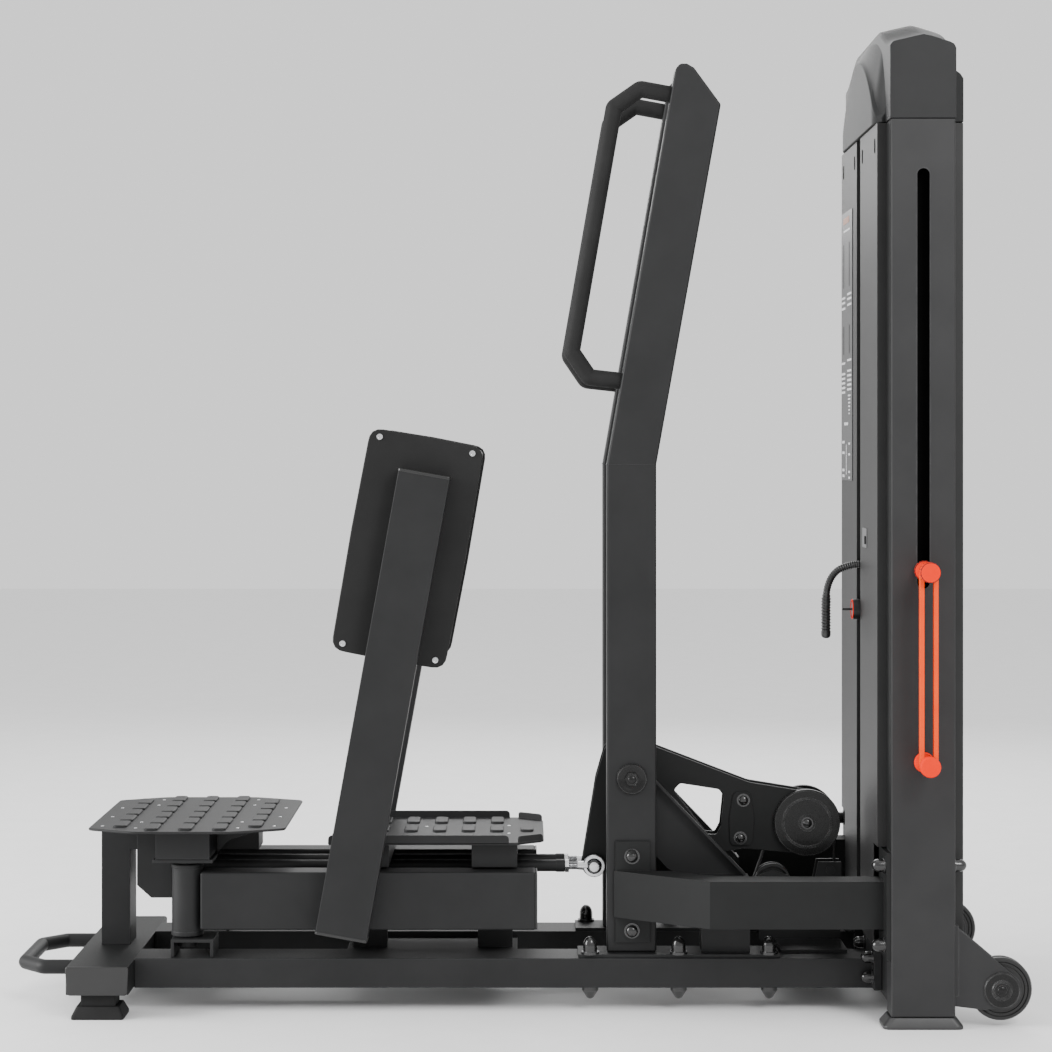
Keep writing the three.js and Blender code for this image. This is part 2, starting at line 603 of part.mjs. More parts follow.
// ---------- rods, lever and pulleys ----------
function pushRod() {
  const pin = crankPin();
  const { y, z, r, eyeX, eyeR, bodyEndX } = ROD;
  const start = pin.x + 10;
  const bar = round('x', (start + bodyEndX) / 2, y, z, r, bodyEndX - start, 16);
  const nut = round('x', bodyEndX + 4, y, z, 13, 9, 6);
  const shank = round('x', (bodyEndX + eyeX - 10) / 2 + 4, y, z, 8, eyeX - bodyEndX - 10, 12);
  const eye = cut(round('y', eyeX, y, z, eyeR, 16), round('y', eyeX, y, z, 10.5, 30));
  const crankEye = round('z', pin.x, y, z, 22, 20);
  const crankBolt = round('z', pin.x, y, 262, 9, 34, 12);
  return join(bar, nut, cut(shank, round('y', eyeX, y, z, 10.5, 30)), eye, crankEye, crankBolt);
}

function lever() {
  const outer = [
    ...arcPoints(ROD.eyeX, ROD.z, 24, 160, 320, 5), [250, 372], [392, 272], [424, 284], [458, 290],
    [547, 282], ...arcPoints(LEVER_PULLEY.x, LEVER_PULLEY.z, 60, -75, 80, 6), [468, 421], [282, 492],
    [245, 510], [205, 512], [180, 488], [163, 429],
  ];
  const window = [[384, 318], [403, 317], [412, 334], [418, 393], [408, 407], [331, 419], [317, 405]];
  const web = cut(plateY(outer, -LEVER.y1, LEVER.y1), plateY(window, -50, 50));
  const spacers = LEVER_BOLTS.map(([x, z]) => round('y', x, 0, z, 12, 2 * LEVER.y0 + 2, 12));
  const heads = LEVER_BOLTS.flatMap(([x, z]) =>
    [-1, 1].map((s) => domedCap('y', x, s * (LEVER.y1 - 0.2), z, 10, 10, s)));
  const hub = round('y', SHAFT.x, 0, SHAFT.z, LEVER.hubR, 150);
  const axle = round('y', LEVER_PULLEY.x, 0, LEVER_PULLEY.z, 8, 2 * LEVER.guardY + 12, 12);
  const guards = [-1, 1].map((s) =>
    round('y', LEVER_PULLEY.x, (s * (LEVER.y1 + LEVER.guardY)) / 2, LEVER_PULLEY.z, LEVER.guardR,
      LEVER.guardY - LEVER.y1));
  const pin = round('y', ROD.eyeX, 0, ROD.z, 10, 2 * (ROD.y + 20), 16);
  const nuts = [-1, 1].map((s) => round('y', ROD.eyeX, s * (ROD.y + 14), ROD.z, 14, 9, 6));
  const hollow = cut(web, box(100, 700, -LEVER.y0, LEVER.y0, 200, 560));
  return cut(join(hollow, ...spacers, ...heads, hub, axle, ...guards, pin, ...nuts),
    round('y', SHAFT.x, 0, SHAFT.z, SHAFT.r + 0.6, 200));
}

function leverShaft() {
  const y = UPRIGHT.y1 + GAP;
  const ends = [-1, 1].flatMap((s) => [
    round('y', SHAFT.x, s * (y + 3), SHAFT.z, 29, 6),
    domedCap('y', SHAFT.x, s * (y + 5.5), SHAFT.z, 15, 15, s),
  ]);
  return join(round('y', SHAFT.x, 0, SHAFT.z, SHAFT.r, 2 * y + 4), ...ends);
}

function pulleyBracket() {
  const plate = box(520 + GAP, 650, -130, 130, RAIL.z1 + GAP, 109);
  const side = [[488, 108], [650, 108], [652, 262], [606, 262], [590, 180], [548, 170],
    [544, 236], [516, 246], [488, 236]];
  const cheeks = [plateY(side, 17, 22), plateY(side, -22, -17)];
  const axle = round('y', BASE_PULLEY.x, 0, BASE_PULLEY.z, 7, 50, 12);
  const bar = round('y', 630, 0, 246, 9, 50, 12);
  return join(plate, ...cheeks, axle, bar);
}

// The nylon-coated cable: fixed end, lever pulley, base pulley, tower pulleys, then the stack.
function cable() {
  const point = ([x, z]) => new THREE.Vector3(x, 0, z);
  const arc = (x, z, r, from, to) => {
    const bend = new THREE.CatmullRomCurve3(arcPoints(x, z, r, from, to, 8).map(point));
    return tube(bend, CABLE_R, 8, 6);
  };
  const run = (a, b) => tube(new THREE.LineCurve3(point(a), point(b)), CABLE_R, 1, 6);
  const lift = LEVER_PULLEY;
  const base = BASE_PULLEY;
  const climb = RISE_X - TOWER_PULLEY.groove;
  const leave = tangentAngle(lift, base);
  const wrap = TOWER_PULLEY.groove + CABLE_R + CABLE_CLEAR;
  const upper = lift.groove + CABLE_R + CABLE_CLEAR;
  const lower = base.groove + CABLE_R + CABLE_CLEAR;
  const onLift = arcPoints(lift.x, lift.z, upper, leave, leave, 1)[0];
  const onBase = arcPoints(base.x, base.z, lower, leave, leave, 1)[0];
  return join(
    run([lift.x + upper, 256.5], [lift.x + upper, lift.z + 0.2]), arc(lift.x, lift.z, upper, 0, leave),
    run(onLift, onBase), arc(base.x, base.z, lower, leave, 270),
    run([base.x - 0.2, base.z - lower], [climb + 0.2, TOWER_PULLEY.lowZ - wrap]),
    arc(climb, TOWER_PULLEY.lowZ, wrap, 270, 360),
    run([climb + wrap, TOWER_PULLEY.lowZ - 0.2], [climb + wrap, TOWER_PULLEY.highZ + 0.2]),
    arc(climb, TOWER_PULLEY.highZ, wrap, 0, 180),
    run([climb - wrap, TOWER_PULLEY.highZ + 0.2], [climb - wrap, 900 + GAP]),
  );
}

// Angle at which a cable leaves the upper pulley for the lower one, on their left sides.
function tangentAngle(upper, lower) {
  const dx = lower.x - upper.x;
  const dz = lower.z - upper.z;
  const along = Math.atan2(dz, dx);
  const turn = Math.acos((upper.groove - lower.groove) / Math.hypot(dx, dz));
  return THREE.MathUtils.radToDeg(along - turn) + 360;
}

function wheel() {
  const half = WHEEL.width / 2;
  return turned([
    [8.6, -half], [34, -half], [36, 2 - half], [WHEEL.r - 3, 2 - half], [WHEEL.r, 5 - half],
    [WHEEL.r, half - 5], [WHEEL.r - 3, half - 2], [36, half - 2], [34, half], [8.6, half], [8.6, -half],
  ], WHEEL.x, WHEEL.y, WHEEL.z);
}

// ---------- assembly ----------
const crossMember = drainedBox(CROSS.x0, CROSS.x1, -CROSS.y, CROSS.y, CROSS.z0, CROSS.z1);
addSingle('base_cross_member', crossMember, COAT);
addPair('base_rail', rail(), COAT);
addPair('base_foot', baseFoot(), RUBBER);
addSingle('lift_handle', liftHandle(), COAT);
addSingle('platform_frame', platformFrame(), COAT);
addSingle('step_platform', stepPlatform(), SHEET);
addPair('pivot_mount', pivotMount(), COAT);
addSingle('foot_plate', footPlate(), SHEET);
addSingle('foot_plate_frame', footPlateFrame(), COAT);
addPair('upright', uprightTube(), COAT);
addPair('upright_mount', uprightMount(), COAT);
addPair('grab_handle', grabHandle(), RUBBER);
addPair('brace', brace(), COAT);
addPair('column', column(), COAT);
addPair('column_foot', columnFoot(), RUBBER);
addSingle('tower_base', towerBase(), COAT);
addSingle('tower_top', towerTop(), COAT);
addSingle('tower_cap', towerCap(), COAT);
addPair('front_panel', frontPanel(), SHEET);
addSingle('rear_panel', rearPanel(), SHEET);
addPair('guide_rod', round('z', GUIDE.x, GUIDE.y, 881, GUIDE.r, 1521, 16), STEEL);
addSingle('lower_weight_plates', lowerPlates(), IRON);
addSingle('stack_carriage', stackCarriage(), IRON);
addSingle('selector_pin', selectorPin(), PLASTIC);
addSingle('tether', tether(), RUBBER);
addPair('lower_peg', lowerPeg(), ORANGE);
addPair('band', band(), ORANGE);
addPair('swing_beam', swingBeam(), COAT);
addPair('pad_arm', padArmTube(), COAT, leanAt(ARM.x, ARM.z));
addPair('pad_board', padSlab(BEAM.y1 - PAD.board, BEAM.y1), PLASTIC, leanAt(PAD.x, PAD.z));
const cushion = padSlab(BEAM.y1 - PAD.board - PAD.foam, BEAM.y1 - PAD.board - GAP);
addPair('pad_cushion', cushion, VINYL, leanAt(PAD.x, PAD.z));
addPair('push_rod', pushRod(), STEEL);
addSingle('lever', lever(), COAT);
addSingle('lever_shaft', leverShaft(), COAT);
addSingle('lever_pulley', pulley(LEVER_PULLEY, 8.6, LEVER_PULLEY.x, LEVER_PULLEY.z), PLASTIC);
addSingle('pulley_bracket', pulleyBracket(), COAT);
addSingle('base_pulley', pulley(BASE_PULLEY, 7.6, BASE_PULLEY.x, BASE_PULLEY.z), PLASTIC);
for (const [name, z] of [['tower_pulley', TOWER_PULLEY.lowZ], ['top_pulley', TOWER_PULLEY.highZ]]) {
  addSingle(name, pulley(TOWER_PULLEY, 7.6, RISE_X - TOWER_PULLEY.groove, z), PLASTIC);
}
addSingle('cable', cable(), PLASTIC);
addPair('wheel', wheel(), RUBBER);

export default machine;
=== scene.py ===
"""Looks of the standing hip abduction machine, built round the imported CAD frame."""
import math

import bmesh
import bpy
from mathutils import Matrix, Vector
from mathutils.bvhtree import BVHTree


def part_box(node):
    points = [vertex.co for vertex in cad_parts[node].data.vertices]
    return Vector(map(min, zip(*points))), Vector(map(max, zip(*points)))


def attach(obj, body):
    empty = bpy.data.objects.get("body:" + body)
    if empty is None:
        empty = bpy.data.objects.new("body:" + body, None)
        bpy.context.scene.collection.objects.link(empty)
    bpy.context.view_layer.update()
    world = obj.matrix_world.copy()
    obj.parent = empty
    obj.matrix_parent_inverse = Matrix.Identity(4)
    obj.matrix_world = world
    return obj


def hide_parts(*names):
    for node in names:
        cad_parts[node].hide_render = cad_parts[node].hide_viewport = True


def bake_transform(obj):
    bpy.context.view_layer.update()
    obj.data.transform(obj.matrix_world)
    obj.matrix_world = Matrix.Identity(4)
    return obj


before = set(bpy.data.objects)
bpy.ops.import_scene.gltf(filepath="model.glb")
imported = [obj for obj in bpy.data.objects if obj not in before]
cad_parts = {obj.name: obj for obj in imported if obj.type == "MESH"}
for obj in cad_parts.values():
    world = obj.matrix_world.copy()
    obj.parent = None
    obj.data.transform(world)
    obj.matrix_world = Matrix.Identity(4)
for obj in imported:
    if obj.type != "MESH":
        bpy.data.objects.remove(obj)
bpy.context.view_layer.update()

MM = 0.001
# The record's slot of each finish that has no slot of its own.
SLOT_OF = {**dict.fromkeys(("bolt", "shaded_coat", "column", "guard"), "coat"),
           **dict.fromkeys(("dark", "placard", "print", "mark", "tag"), "sheet"),
           **dict.fromkeys(("tyre", "foot", "hose"), "rubber"), "sleeve": "pulley"}


# ---------- camera ----------
def show(obj):
    bpy.context.scene.collection.objects.link(obj)
    return obj


def make_camera():
    data = bpy.data.cameras.new("camera")
    data.lens = 85
    data.sensor_width = 36
    data.shift_y = -0.076
    data.clip_end = 100
    camera = bpy.data.objects.new("camera", data)
    camera.location = (0.024, -4.968, 1.090)
    camera.rotation_euler = (math.pi / 2, 0, 0)
    bpy.context.scene.camera = show(camera)


make_camera()


# ---------- mesh helpers, millimetres ----------
def link(bm, name="piece"):
    mesh = bpy.data.meshes.new(name)
    for v in bm.verts:
        v.co *= MM
    bmesh.ops.recalc_face_normals(bm, faces=bm.faces[:])
    for f in bm.faces:
        f.smooth = True
    bm.to_mesh(mesh)
    bm.free()
    return show(bpy.data.objects.new(name, mesh))


def soften(obj, width, segments=3, angle=32):
    """Rounds the sharp edges, as a tube's corners or a pressed plate's edges are."""
    bevel = obj.modifiers.new("edges", "BEVEL")
    bevel.width = width * MM
    bevel.segments = segments
    bevel.limit_method = "ANGLE"
    bevel.angle_limit = math.radians(angle)
    bevel.miter_outer = "MITER_ARC"
    return obj


def place(axis, u, v, w):
    """A point from outline coordinates (u, v) and depth w along axis."""
    return {"x": (w, u, v), "y": (u, w, v), "z": (u, v, w)}[axis]


def prism(axis, outline, lo, hi, bevel=1.0, holes=(), segments=2):
    bm = bmesh.new()
    edges = []
    for loop in (outline, *holes):
        verts = [bm.verts.new(place(axis, u, v, lo)) for u, v in loop]
        edges += [bm.edges.new((a, b)) for a, b in zip(verts, verts[1:] + verts[:1])]
    bmesh.ops.triangle_fill(bm, use_beauty=True, edges=edges)
    bmesh.ops.dissolve_limit(bm, angle_limit=0.02, verts=bm.verts[:], edges=bm.edges[:])
    made = bmesh.ops.extrude_face_region(bm, geom=bm.faces[:])
    moved = [g for g in made["geom"] if isinstance(g, bmesh.types.BMVert)]
    bmesh.ops.translate(bm, verts=moved, vec=place(axis, 0, 0, hi - lo))
    obj = link(bm)
    return soften(obj, bevel, segments) if bevel else obj


def block(x0, x1, y0, y1, z0, z1, bevel=3.0, segments=3):
    y0, y1 = min(y0, y1), max(y0, y1)
    return prism("z", [(x0, y0), (x1, y0), (x1, y1), (x0, y1)], z0, z1, bevel, (), segments)


def arc(cx, cy, r, start, end, steps=8):
    turns = [math.radians(start + (end - start) * i / steps) for i in range(steps + 1)]
    return [(cx + r * math.cos(t), cy + r * math.sin(t)) for t in turns]


def rounded(points, radius, steps=5):
    """A closed outline with its corners rounded; radius is one number or one per corner."""
    out = []
    count = len(points)
    radii = radius if hasattr(radius, "__len__") else [radius] * count
    for i, corner in enumerate(points):
        c = Vector(corner)
        a = Vector(points[i - 1]) - c
        b = Vector(points[(i + 1) % count]) - c
        if radii[i] <= 0:
            out.append(tuple(c))
            continue
        half = a.angle(b) / 2
        reach = min(radii[i] / math.tan(half), a.length * 0.49, b.length * 0.49)
        p, q = c + a.normalized() * reach, c + b.normalized() * reach
        for k in range(steps + 1):
            t = k / steps
            out.append(tuple(p * (1 - t) ** 2 + c * 2 * t * (1 - t) + q * t ** 2))
    return out


def rounded_rect(cx, cy, width, height, r, steps=5):
    w, h = width / 2, height / 2
    return rounded([(cx - w, cy - h), (cx + w, cy - h), (cx + w, cy + h), (cx - w, cy + h)], r, steps)


def lathe(axis, centre, profile, steps=48, bevel=0.0):
    """A solid of revolution about axis through centre, from a closed profile of (radius, offset)."""
    bm = bmesh.new()
    rings = []
    for r, h in profile:
        if r < 1e-6:
            rings.append([bm.verts.new(place(axis, 0, 0, h))])
            continue
        turns = [2 * math.pi * k / steps for k in range(steps)]
        rings.append([bm.verts.new(place(axis, r * math.cos(t), r * math.sin(t), h)) for t in turns])
    closed = profile[0][0] > 1e-6
    pairs = list(zip(rings, rings[1:])) + ([(rings[-1], rings[0])] if closed else [])
    for a, b in pairs:
        for k in range(steps):
            n = (k + 1) % steps
            quad = [a[k % len(a)], a[n % len(a)], b[n % len(b)], b[k % len(b)]]
            bm.faces.new(list(dict.fromkeys(quad)))
    bmesh.ops.translate(bm, verts=bm.verts[:], vec=centre)
    obj = link(bm)
    return soften(obj, bevel, 2, 28) if bevel else sharp(obj)


def sharp(obj, angle=28):
    """Keeps hard edges hard under smooth shading."""
    obj.data.set_sharp_from_angle(angle=math.radians(angle))
    return obj


def disc(axis, centre, r, depth, bevel=0.0):
    h = depth / 2
    return lathe(axis, centre, [(0, -h), (r, -h), (r, h), (0, h)], bevel=bevel)


def loft(outlines, bevel=0.0, segments=2, angle=32, closed=False):
    """A solid through outlines with equal counts of points; closed joins the last to the first."""
    bm = bmesh.new()
    rings = [[bm.verts.new(p) for p in outline] for outline in outlines]
    pairs = list(zip(rings, rings[1:])) + ([(rings[-1], rings[0])] if closed else [])
    for a, b in pairs:
        for i in range(len(a)):
            n = (i + 1) % len(a)
            bm.faces.new((a[i], a[n], b[n], b[i]))
    if not closed:
        bm.faces.new(rings[0])
        bm.faces.new(rings[-1])
    obj = link(bm)
    return soften(obj, bevel, segments, angle) if bevel else sharp(obj, angle)


def route(points, radius, steps):
    """An open path of straight runs with rounded bends."""
    pts = [Vector(p) for p in points]
    out = [pts[0]]
    for a, c, b in zip(pts, pts[1:], pts[2:]):
        u, v = (a - c).normalized(), (b - c).normalized()
        reach = min(radius / math.tan(u.angle(v) / 2), (a - c).length * 0.49, (b - c).length * 0.49)
        p, q = c + u * reach, c + v * reach
        for k in range(steps + 1):
            t = k / steps
            out.append(p * (1 - t) ** 2 + c * 2 * t * (1 - t) + q * t ** 2)
    return out + [pts[-1]]


def curve(points, samples):
    """A smooth path through points (Catmull-Rom)."""
    pts = [Vector(p) for p in points]
    pts = [2 * pts[0] - pts[1], *pts, 2 * pts[-1] - pts[-2]]
    spans = len(pts) - 3
    out = []
    for k in range(samples + 1):
        x = min(spans - 1e-6, spans * k / samples)
        i, t = int(x), x - int(x)
        p0, p1, p2, p3 = pts[i:i + 4]
        out.append(0.5 * ((2 * p1) + (p2 - p0) * t + (2 * p0 - 5 * p1 + 4 * p2 - p3) * t ** 2
                          + (3 * p1 - p0 - 3 * p2 + p3) * t ** 3))
    return out


def resampled(points, count):
    """Evenly spaced points round a closed path."""
    pts = [Vector(p) for p in points]
    pts.append(pts[0])
    lengths = [0.0]
    for a, b in zip(pts, pts[1:]):
        lengths.append(lengths[-1] + (b - a).length)
    out = []
    i = 0
    for k in range(count):
        d = lengths[-1] * k / count
        while lengths[i + 1] < d:
            i += 1
        share = (d - lengths[i]) / max(1e-9, lengths[i + 1] - lengths[i])
        out.append(pts[i].lerp(pts[i + 1], share))
    return out


def sweep(points, radius, sides=24, closed=False):
    """A tube along points. radius is a number or a function of the share along."""
    pts = [Vector(p) for p in points]
    count = len(pts)
    rings = []
    up = None
    for i, p in enumerate(pts):
        before = pts[i - 1] if i or closed else p
        after = pts[(i + 1) % count] if i < count - 1 or closed else p
        tangent = (after - before).normalized()
        if up is None:
            up = tangent.orthogonal() if abs(tangent.z) > 0.9 else tangent.cross(Vector((0, 0, 1)))
        up = (up - tangent * up.dot(tangent)).normalized()
        other = tangent.cross(up)
        r = radius(i / (count - 1)) if callable(radius) else radius
        turns = [2 * math.pi * k / sides for k in range(sides)]
        rings.append([p + up * r * math.cos(t) + other * r * math.sin(t) for t in turns])
    return loft(rings, angle=50, closed=closed)


def applied(obj):
    """A mesh of the object with its modifiers applied."""
    graph = bpy.context.evaluated_depsgraph_get()
    graph.update()
    return bpy.data.meshes.new_from_object(obj.evaluated_get(graph))


def join(objects):
    """One piece from several, with their modifiers applied."""
    bm = bmesh.new()
    for obj in objects:
        bm.from_mesh(applied(obj))
    for obj in objects:
        bpy.data.objects.remove(obj)
    mesh = bpy.data.meshes.new("piece")
    bm.to_mesh(mesh)
    bm.free()
    return sharp(show(bpy.data.objects.new("piece", mesh)), 30)


def coated(obj, material):
    """Gives a piece its finish."""
    normals = obj.modifiers.new("normals", "WEIGHTED_NORMAL")
    normals.keep_sharp = True
    obj.data.materials.clear()
    obj.data.materials.append(MATERIALS[material])


def dress(parts, name, material, body="frame", node=None):
    """Gives a piece, or a list made one, its name, body and finish, and hides the CAD node it replaces.
    """
    obj = join(parts) if isinstance(parts, list) else parts
    obj.name = name
    if body:
        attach(obj, body)
    coated(obj, material)
    if node:
        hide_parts(node)
    return obj


def pair(parts, name, material, body="frame", node=None):
    """Dresses a piece made on the far side, and its mirrored twin on the near side."""
    obj = join(parts) if isinstance(parts, list) else parts
    twin = obj.copy()
    twin.data = obj.data.copy()
    twin.data.transform(Matrix.Scale(-1, 4, (0, 1, 0)))
    twin.data.flip_normals()
    show(twin)
    for piece, key in ((obj, "far"), (twin, "near")):
        dress(piece, f"{name}_{key}", material, body.format(key), f"{key}_{node}" if node else None)


def span(node):
    """x0, x1, y0, y1, z0, z1 of a CAD node, in millimetres."""
    lo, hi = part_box(node)
    return [v / MM for ends in zip(lo, hi) for v in ends]


# ---------- materials ----------
def node(tree, kind, **values):
    made = tree.nodes.new(kind)
    for key, value in values.items():
        if key in made.inputs:
            made.inputs[key].default_value = value
        else:
            setattr(made, key, value)
    return made


def noise(tree, scale, roughness=0.55, stretch=None):
    """Noise in the object's own coordinates, in features per metre."""
    coords = node(tree, "ShaderNodeTexCoord")
    source = coords.outputs["Object"]
    if stretch:
        mapping = node(tree, "ShaderNodeMapping", Scale=stretch)
        tree.links.new(source, mapping.inputs["Vector"])
        source = mapping.outputs["Vector"]
    texture = node(tree, "ShaderNodeTexNoise", Scale=scale, Detail=4, Roughness=roughness)
    tree.links.new(source, texture.inputs["Vector"])
    return texture.outputs["Fac"]


def remap(tree, source, lo, hi, to_lo, to_hi):
    made = node(tree, "ShaderNodeMapRange")
    for i, value in enumerate((lo, hi, to_lo, to_hi), 1):
        made.inputs[i].default_value = value
    tree.links.new(source, made.inputs[0])
    return made.outputs[0]


def rgb(value):
    """A colour, where a single number is a grey."""
    return value if isinstance(value, tuple) else (value, value, value)


def mixed(tree, factor, a, b):
    made = node(tree, "ShaderNodeMix", data_type="RGBA")
    tree.links.new(factor, made.inputs[0])
    for socket, value in ((made.inputs[6], a), (made.inputs[7], b)):
        if isinstance(value, bpy.types.NodeSocket):
            tree.links.new(value, socket)
        else:
            socket.default_value = (*rgb(value), 1)
    return made.outputs[2]


def bumped(tree, height, strength, distance, normal=None):
    made = node(tree, "ShaderNodeBump", Strength=strength, Distance=distance)
    tree.links.new(height, made.inputs["Height"])
    if normal:
        tree.links.new(normal, made.inputs["Normal"])
    return made.outputs["Normal"]


def painted_edge_highlight(tree, radius, threshold):
    """1 along sharp edges, 0 on flat faces, broken up by noise: the mask of a highlight painted along the
    edges.
    """
    rounded_normal = node(tree, "ShaderNodeBevel", samples=4, Radius=radius)
    geometry = node(tree, "ShaderNodeNewGeometry")
    dot = node(tree, "ShaderNodeVectorMath", operation="DOT_PRODUCT")
    tree.links.new(rounded_normal.outputs[0], dot.inputs[0])
    tree.links.new(geometry.outputs["Normal"], dot.inputs[1])
    edge = remap(tree, dot.outputs["Value"], threshold, 1.0, 1.0, 0.0)
    patchy = remap(tree, noise(tree, 45), 0.35, 0.65, 0.25, 1.0)
    both = node(tree, "ShaderNodeMath", operation="MULTIPLY")
    tree.links.new(edge, both.inputs[0])
    tree.links.new(patchy, both.inputs[1])
    return both.outputs[0]


def finish_of(name, dark, light, roughness, grain, depth, metallic=0.0, edge_highlight=None, specular=0.5,
              patch=9.0, stretch=None, coat=0.0):
    """A finish whose colour drifts between dark and light, with a fine grain in its surface."""
    made = bpy.data.materials.new(name)
    made.use_nodes = True
    tree = made.node_tree
    shader = tree.nodes["Principled BSDF"]
    shader.inputs["Metallic"].default_value = metallic
    shader.inputs["Specular IOR Level"].default_value = specular
    shader.inputs["Coat Weight"].default_value = coat
    drift = remap(tree, noise(tree, patch, 0.6, stretch), 0.3, 0.7, 0.0, 1.0)
    colour = mixed(tree, drift, dark, light)
    # Sharp edges are painted lighter here: a painted highlight along the edges.
    if edge_highlight:
        colour = mixed(tree, painted_edge_highlight(tree, 0.0025, 0.82), colour, edge_highlight)
    tree.links.new(colour, shader.inputs["Base Color"])
    fine = noise(tree, grain, 0.6, stretch)
    tree.links.new(remap(tree, fine, 0.3, 0.7, roughness - 0.07, roughness + 0.07),
                   shader.inputs["Roughness"])
    tree.links.new(bumped(tree, fine, 0.5, depth * MM), shader.inputs["Normal"])
    return made


def leather():
    made = finish_of("leather", 0.011, 0.016, 0.5, 500, 0.2)
    tree = made.node_tree
    cells = node(tree, "ShaderNodeTexVoronoi", feature="DISTANCE_TO_EDGE", Scale=420)
    coords = node(tree, "ShaderNodeTexCoord")
    tree.links.new(coords.outputs["Object"], cells.inputs["Vector"])
    crease = remap(tree, cells.outputs["Distance"], 0.0, 0.12, 0.0, 1.0)
    shader = tree.nodes["Principled BSDF"]
    below = shader.inputs["Normal"].links[0].from_socket
    tree.links.new(bumped(tree, crease, 0.45, 0.3 * MM, below), shader.inputs["Normal"])
    shader.inputs["Sheen Weight"].default_value = 0.05
    return made


# The lighter edge colour given to a finish below is a painted highlight along its sharp edges.
MATERIALS = {
    "coat": finish_of("powder_coat", (0.0125, 0.0127, 0.0130), (0.0165, 0.0167, 0.0171), 0.52, 1400,
                      0.12, edge_highlight=(0.036, 0.036, 0.037), specular=0.2),
    "sheet": finish_of("coated_sheet", 0.018, 0.023, 0.5, 1100, 0.12, edge_highlight=(0.045, 0.045, 0.046),
                       specular=0.24),
    "rubber": finish_of("rubber", 0.008, 0.013, 0.72, 700, 0.25, specular=0.22, patch=16),
    "vinyl": leather(),
    "board": finish_of("pad_board", 0.011, 0.015, 0.62, 900, 0.2, edge_highlight=0.03, specular=0.16),
    "pulley": finish_of("nylon", 0.009, 0.014, 0.36, 500, 0.12, specular=0.5),
    # On the guards the lighter edge colour paints the highlight on the raised rings.
    "guard": finish_of("gloss_black", 0.004, 0.006, 0.26, 500, 0.02, edge_highlight=0.12, specular=0.25,
                       coat=0.05),
    "sleeve": finish_of("cable_sleeve", 0.012, 0.02, 0.35, 500, 0.1),
    "knob": finish_of("knob_plastic", 0.010, 0.014, 0.36, 800, 0.12),
    "steel": finish_of("bright_steel", (0.55, 0.56, 0.57), (0.68, 0.68, 0.69), 0.28, 260, 0.05,
                       metallic=1.0, stretch=(0.12, 1, 1), patch=30),
    "iron": finish_of("painted_iron", 0.008, 0.012, 0.6, 600, 0.3, edge_highlight=(0.03, 0.03, 0.031),
                      specular=0.3),
    "orange": finish_of("orange_plastic", (0.82, 0.018, 0.0), (0.87, 0.024, 0.0), 0.5, 700, 0.1,
                        patch=25, specular=0.04),
    "band": finish_of("orange_rubber", (0.84, 0.055, 0.001), (0.88, 0.075, 0.003), 0.5, 600, 0.2,
                      patch=25, specular=0.08),
    "bolt": finish_of("blackened_bolt", 0.006, 0.010, 0.22, 700, 0.05, edge_highlight=(0.09, 0.09, 0.092),
                      coat=0.3),
    "tyre": finish_of("tyre", 0.008, 0.012, 0.38, 600, 0.1, specular=0.4),
    "foot": finish_of("foot_rubber", (0.020, 0.020, 0.0205), (0.027, 0.027, 0.0275), 0.45, 600, 0.15,
                      patch=16),
    "hose": finish_of("ribbed_hose", 0.018, 0.028, 0.32, 500, 0.1, specular=0.6),
    # A lighter copy of the powder coat: painted light for the brighter light that falls on the column.
    "column": finish_of("lit_column_coat", (0.019, 0.019, 0.0195), (0.024, 0.024, 0.0245), 0.48, 1400,
                        0.12, edge_highlight=(0.06, 0.06, 0.061), specular=0.24),
    # A darker copy of the powder coat: painted shade for the parts that lie in shade.
    "shaded_coat": finish_of("shaded_powder_coat", (0.0075, 0.0078, 0.0078), (0.010, 0.0105, 0.0105), 0.55, 900, 0.1,
                      specular=0.2),
    # Near black: painted shade inside slots and slits.
    "dark": finish_of("painted_slot_shade", 0.002, 0.004, 0.9, 400, 0.1, specular=0.05),
    "placard": finish_of("placard", (0.018, 0.018, 0.019), (0.023, 0.023, 0.024), 0.4, 900, 0.03),
    "tag": finish_of("tag", (0.07, 0.07, 0.072), (0.09, 0.09, 0.092), 0.4, 900, 0.03),
    "mark": finish_of("faded_mark", (0.30, 0.13, 0.08), (0.36, 0.17, 0.11), 0.5, 900, 0.02),
    "print": finish_of("placard_print", (0.6, 0.6, 0.61), (0.7, 0.7, 0.71), 0.5, 900, 0.02),
}


# ---------- tether ----------
TETHER = ((718, 12, 853), (692, 12, 853), (672, 14, 850), (652, 19, 842), (638, 25, 826), (630, 31, 802),
          (628, 34, 772), (628, 35, 742), (628, 35, 712))
TETHER_R = 7.5
RINGS = 40               # rings moulded along the sleeve
GRIP_FROM = 0.66         # share of the length where the thicker end begins


def make_tether():
    path = curve(TETHER, 320)

    def radius(share):
        ring = 0.5 * math.sin(share * 2 * math.pi * RINGS)
        swell = min(1.0, max(0.0, (share - GRIP_FROM) / 0.05))
        return TETHER_R - 0.45 + ring * (1 + swell) + 2.0 * swell

    lanyard = sweep(path, radius, 20)
    lanyard.data.attributes.remove(lanyard.data.attributes["sharp_edge"])
    dress(lanyard, "tether_cord", "hose", "stack", "tether")
    x, y, z = TETHER[-1]
    tip = lathe("z", (x, y, z), [(0, -9), (5, -8.6), (8.4, -6), (9.6, -2), (9.6, 6), (0, 6)], 28)
    dress(tip, "tether_tip", "hose", "stack")
    clip = lathe("x", (0, TETHER[0][1], TETHER[0][2]),
                 [(0, 704), (8.6, 704), (9.4, 706), (9.4, 716), (0, 716)], 28)
    dress(clip, "tether_socket", "knob", "stack")


make_tether()


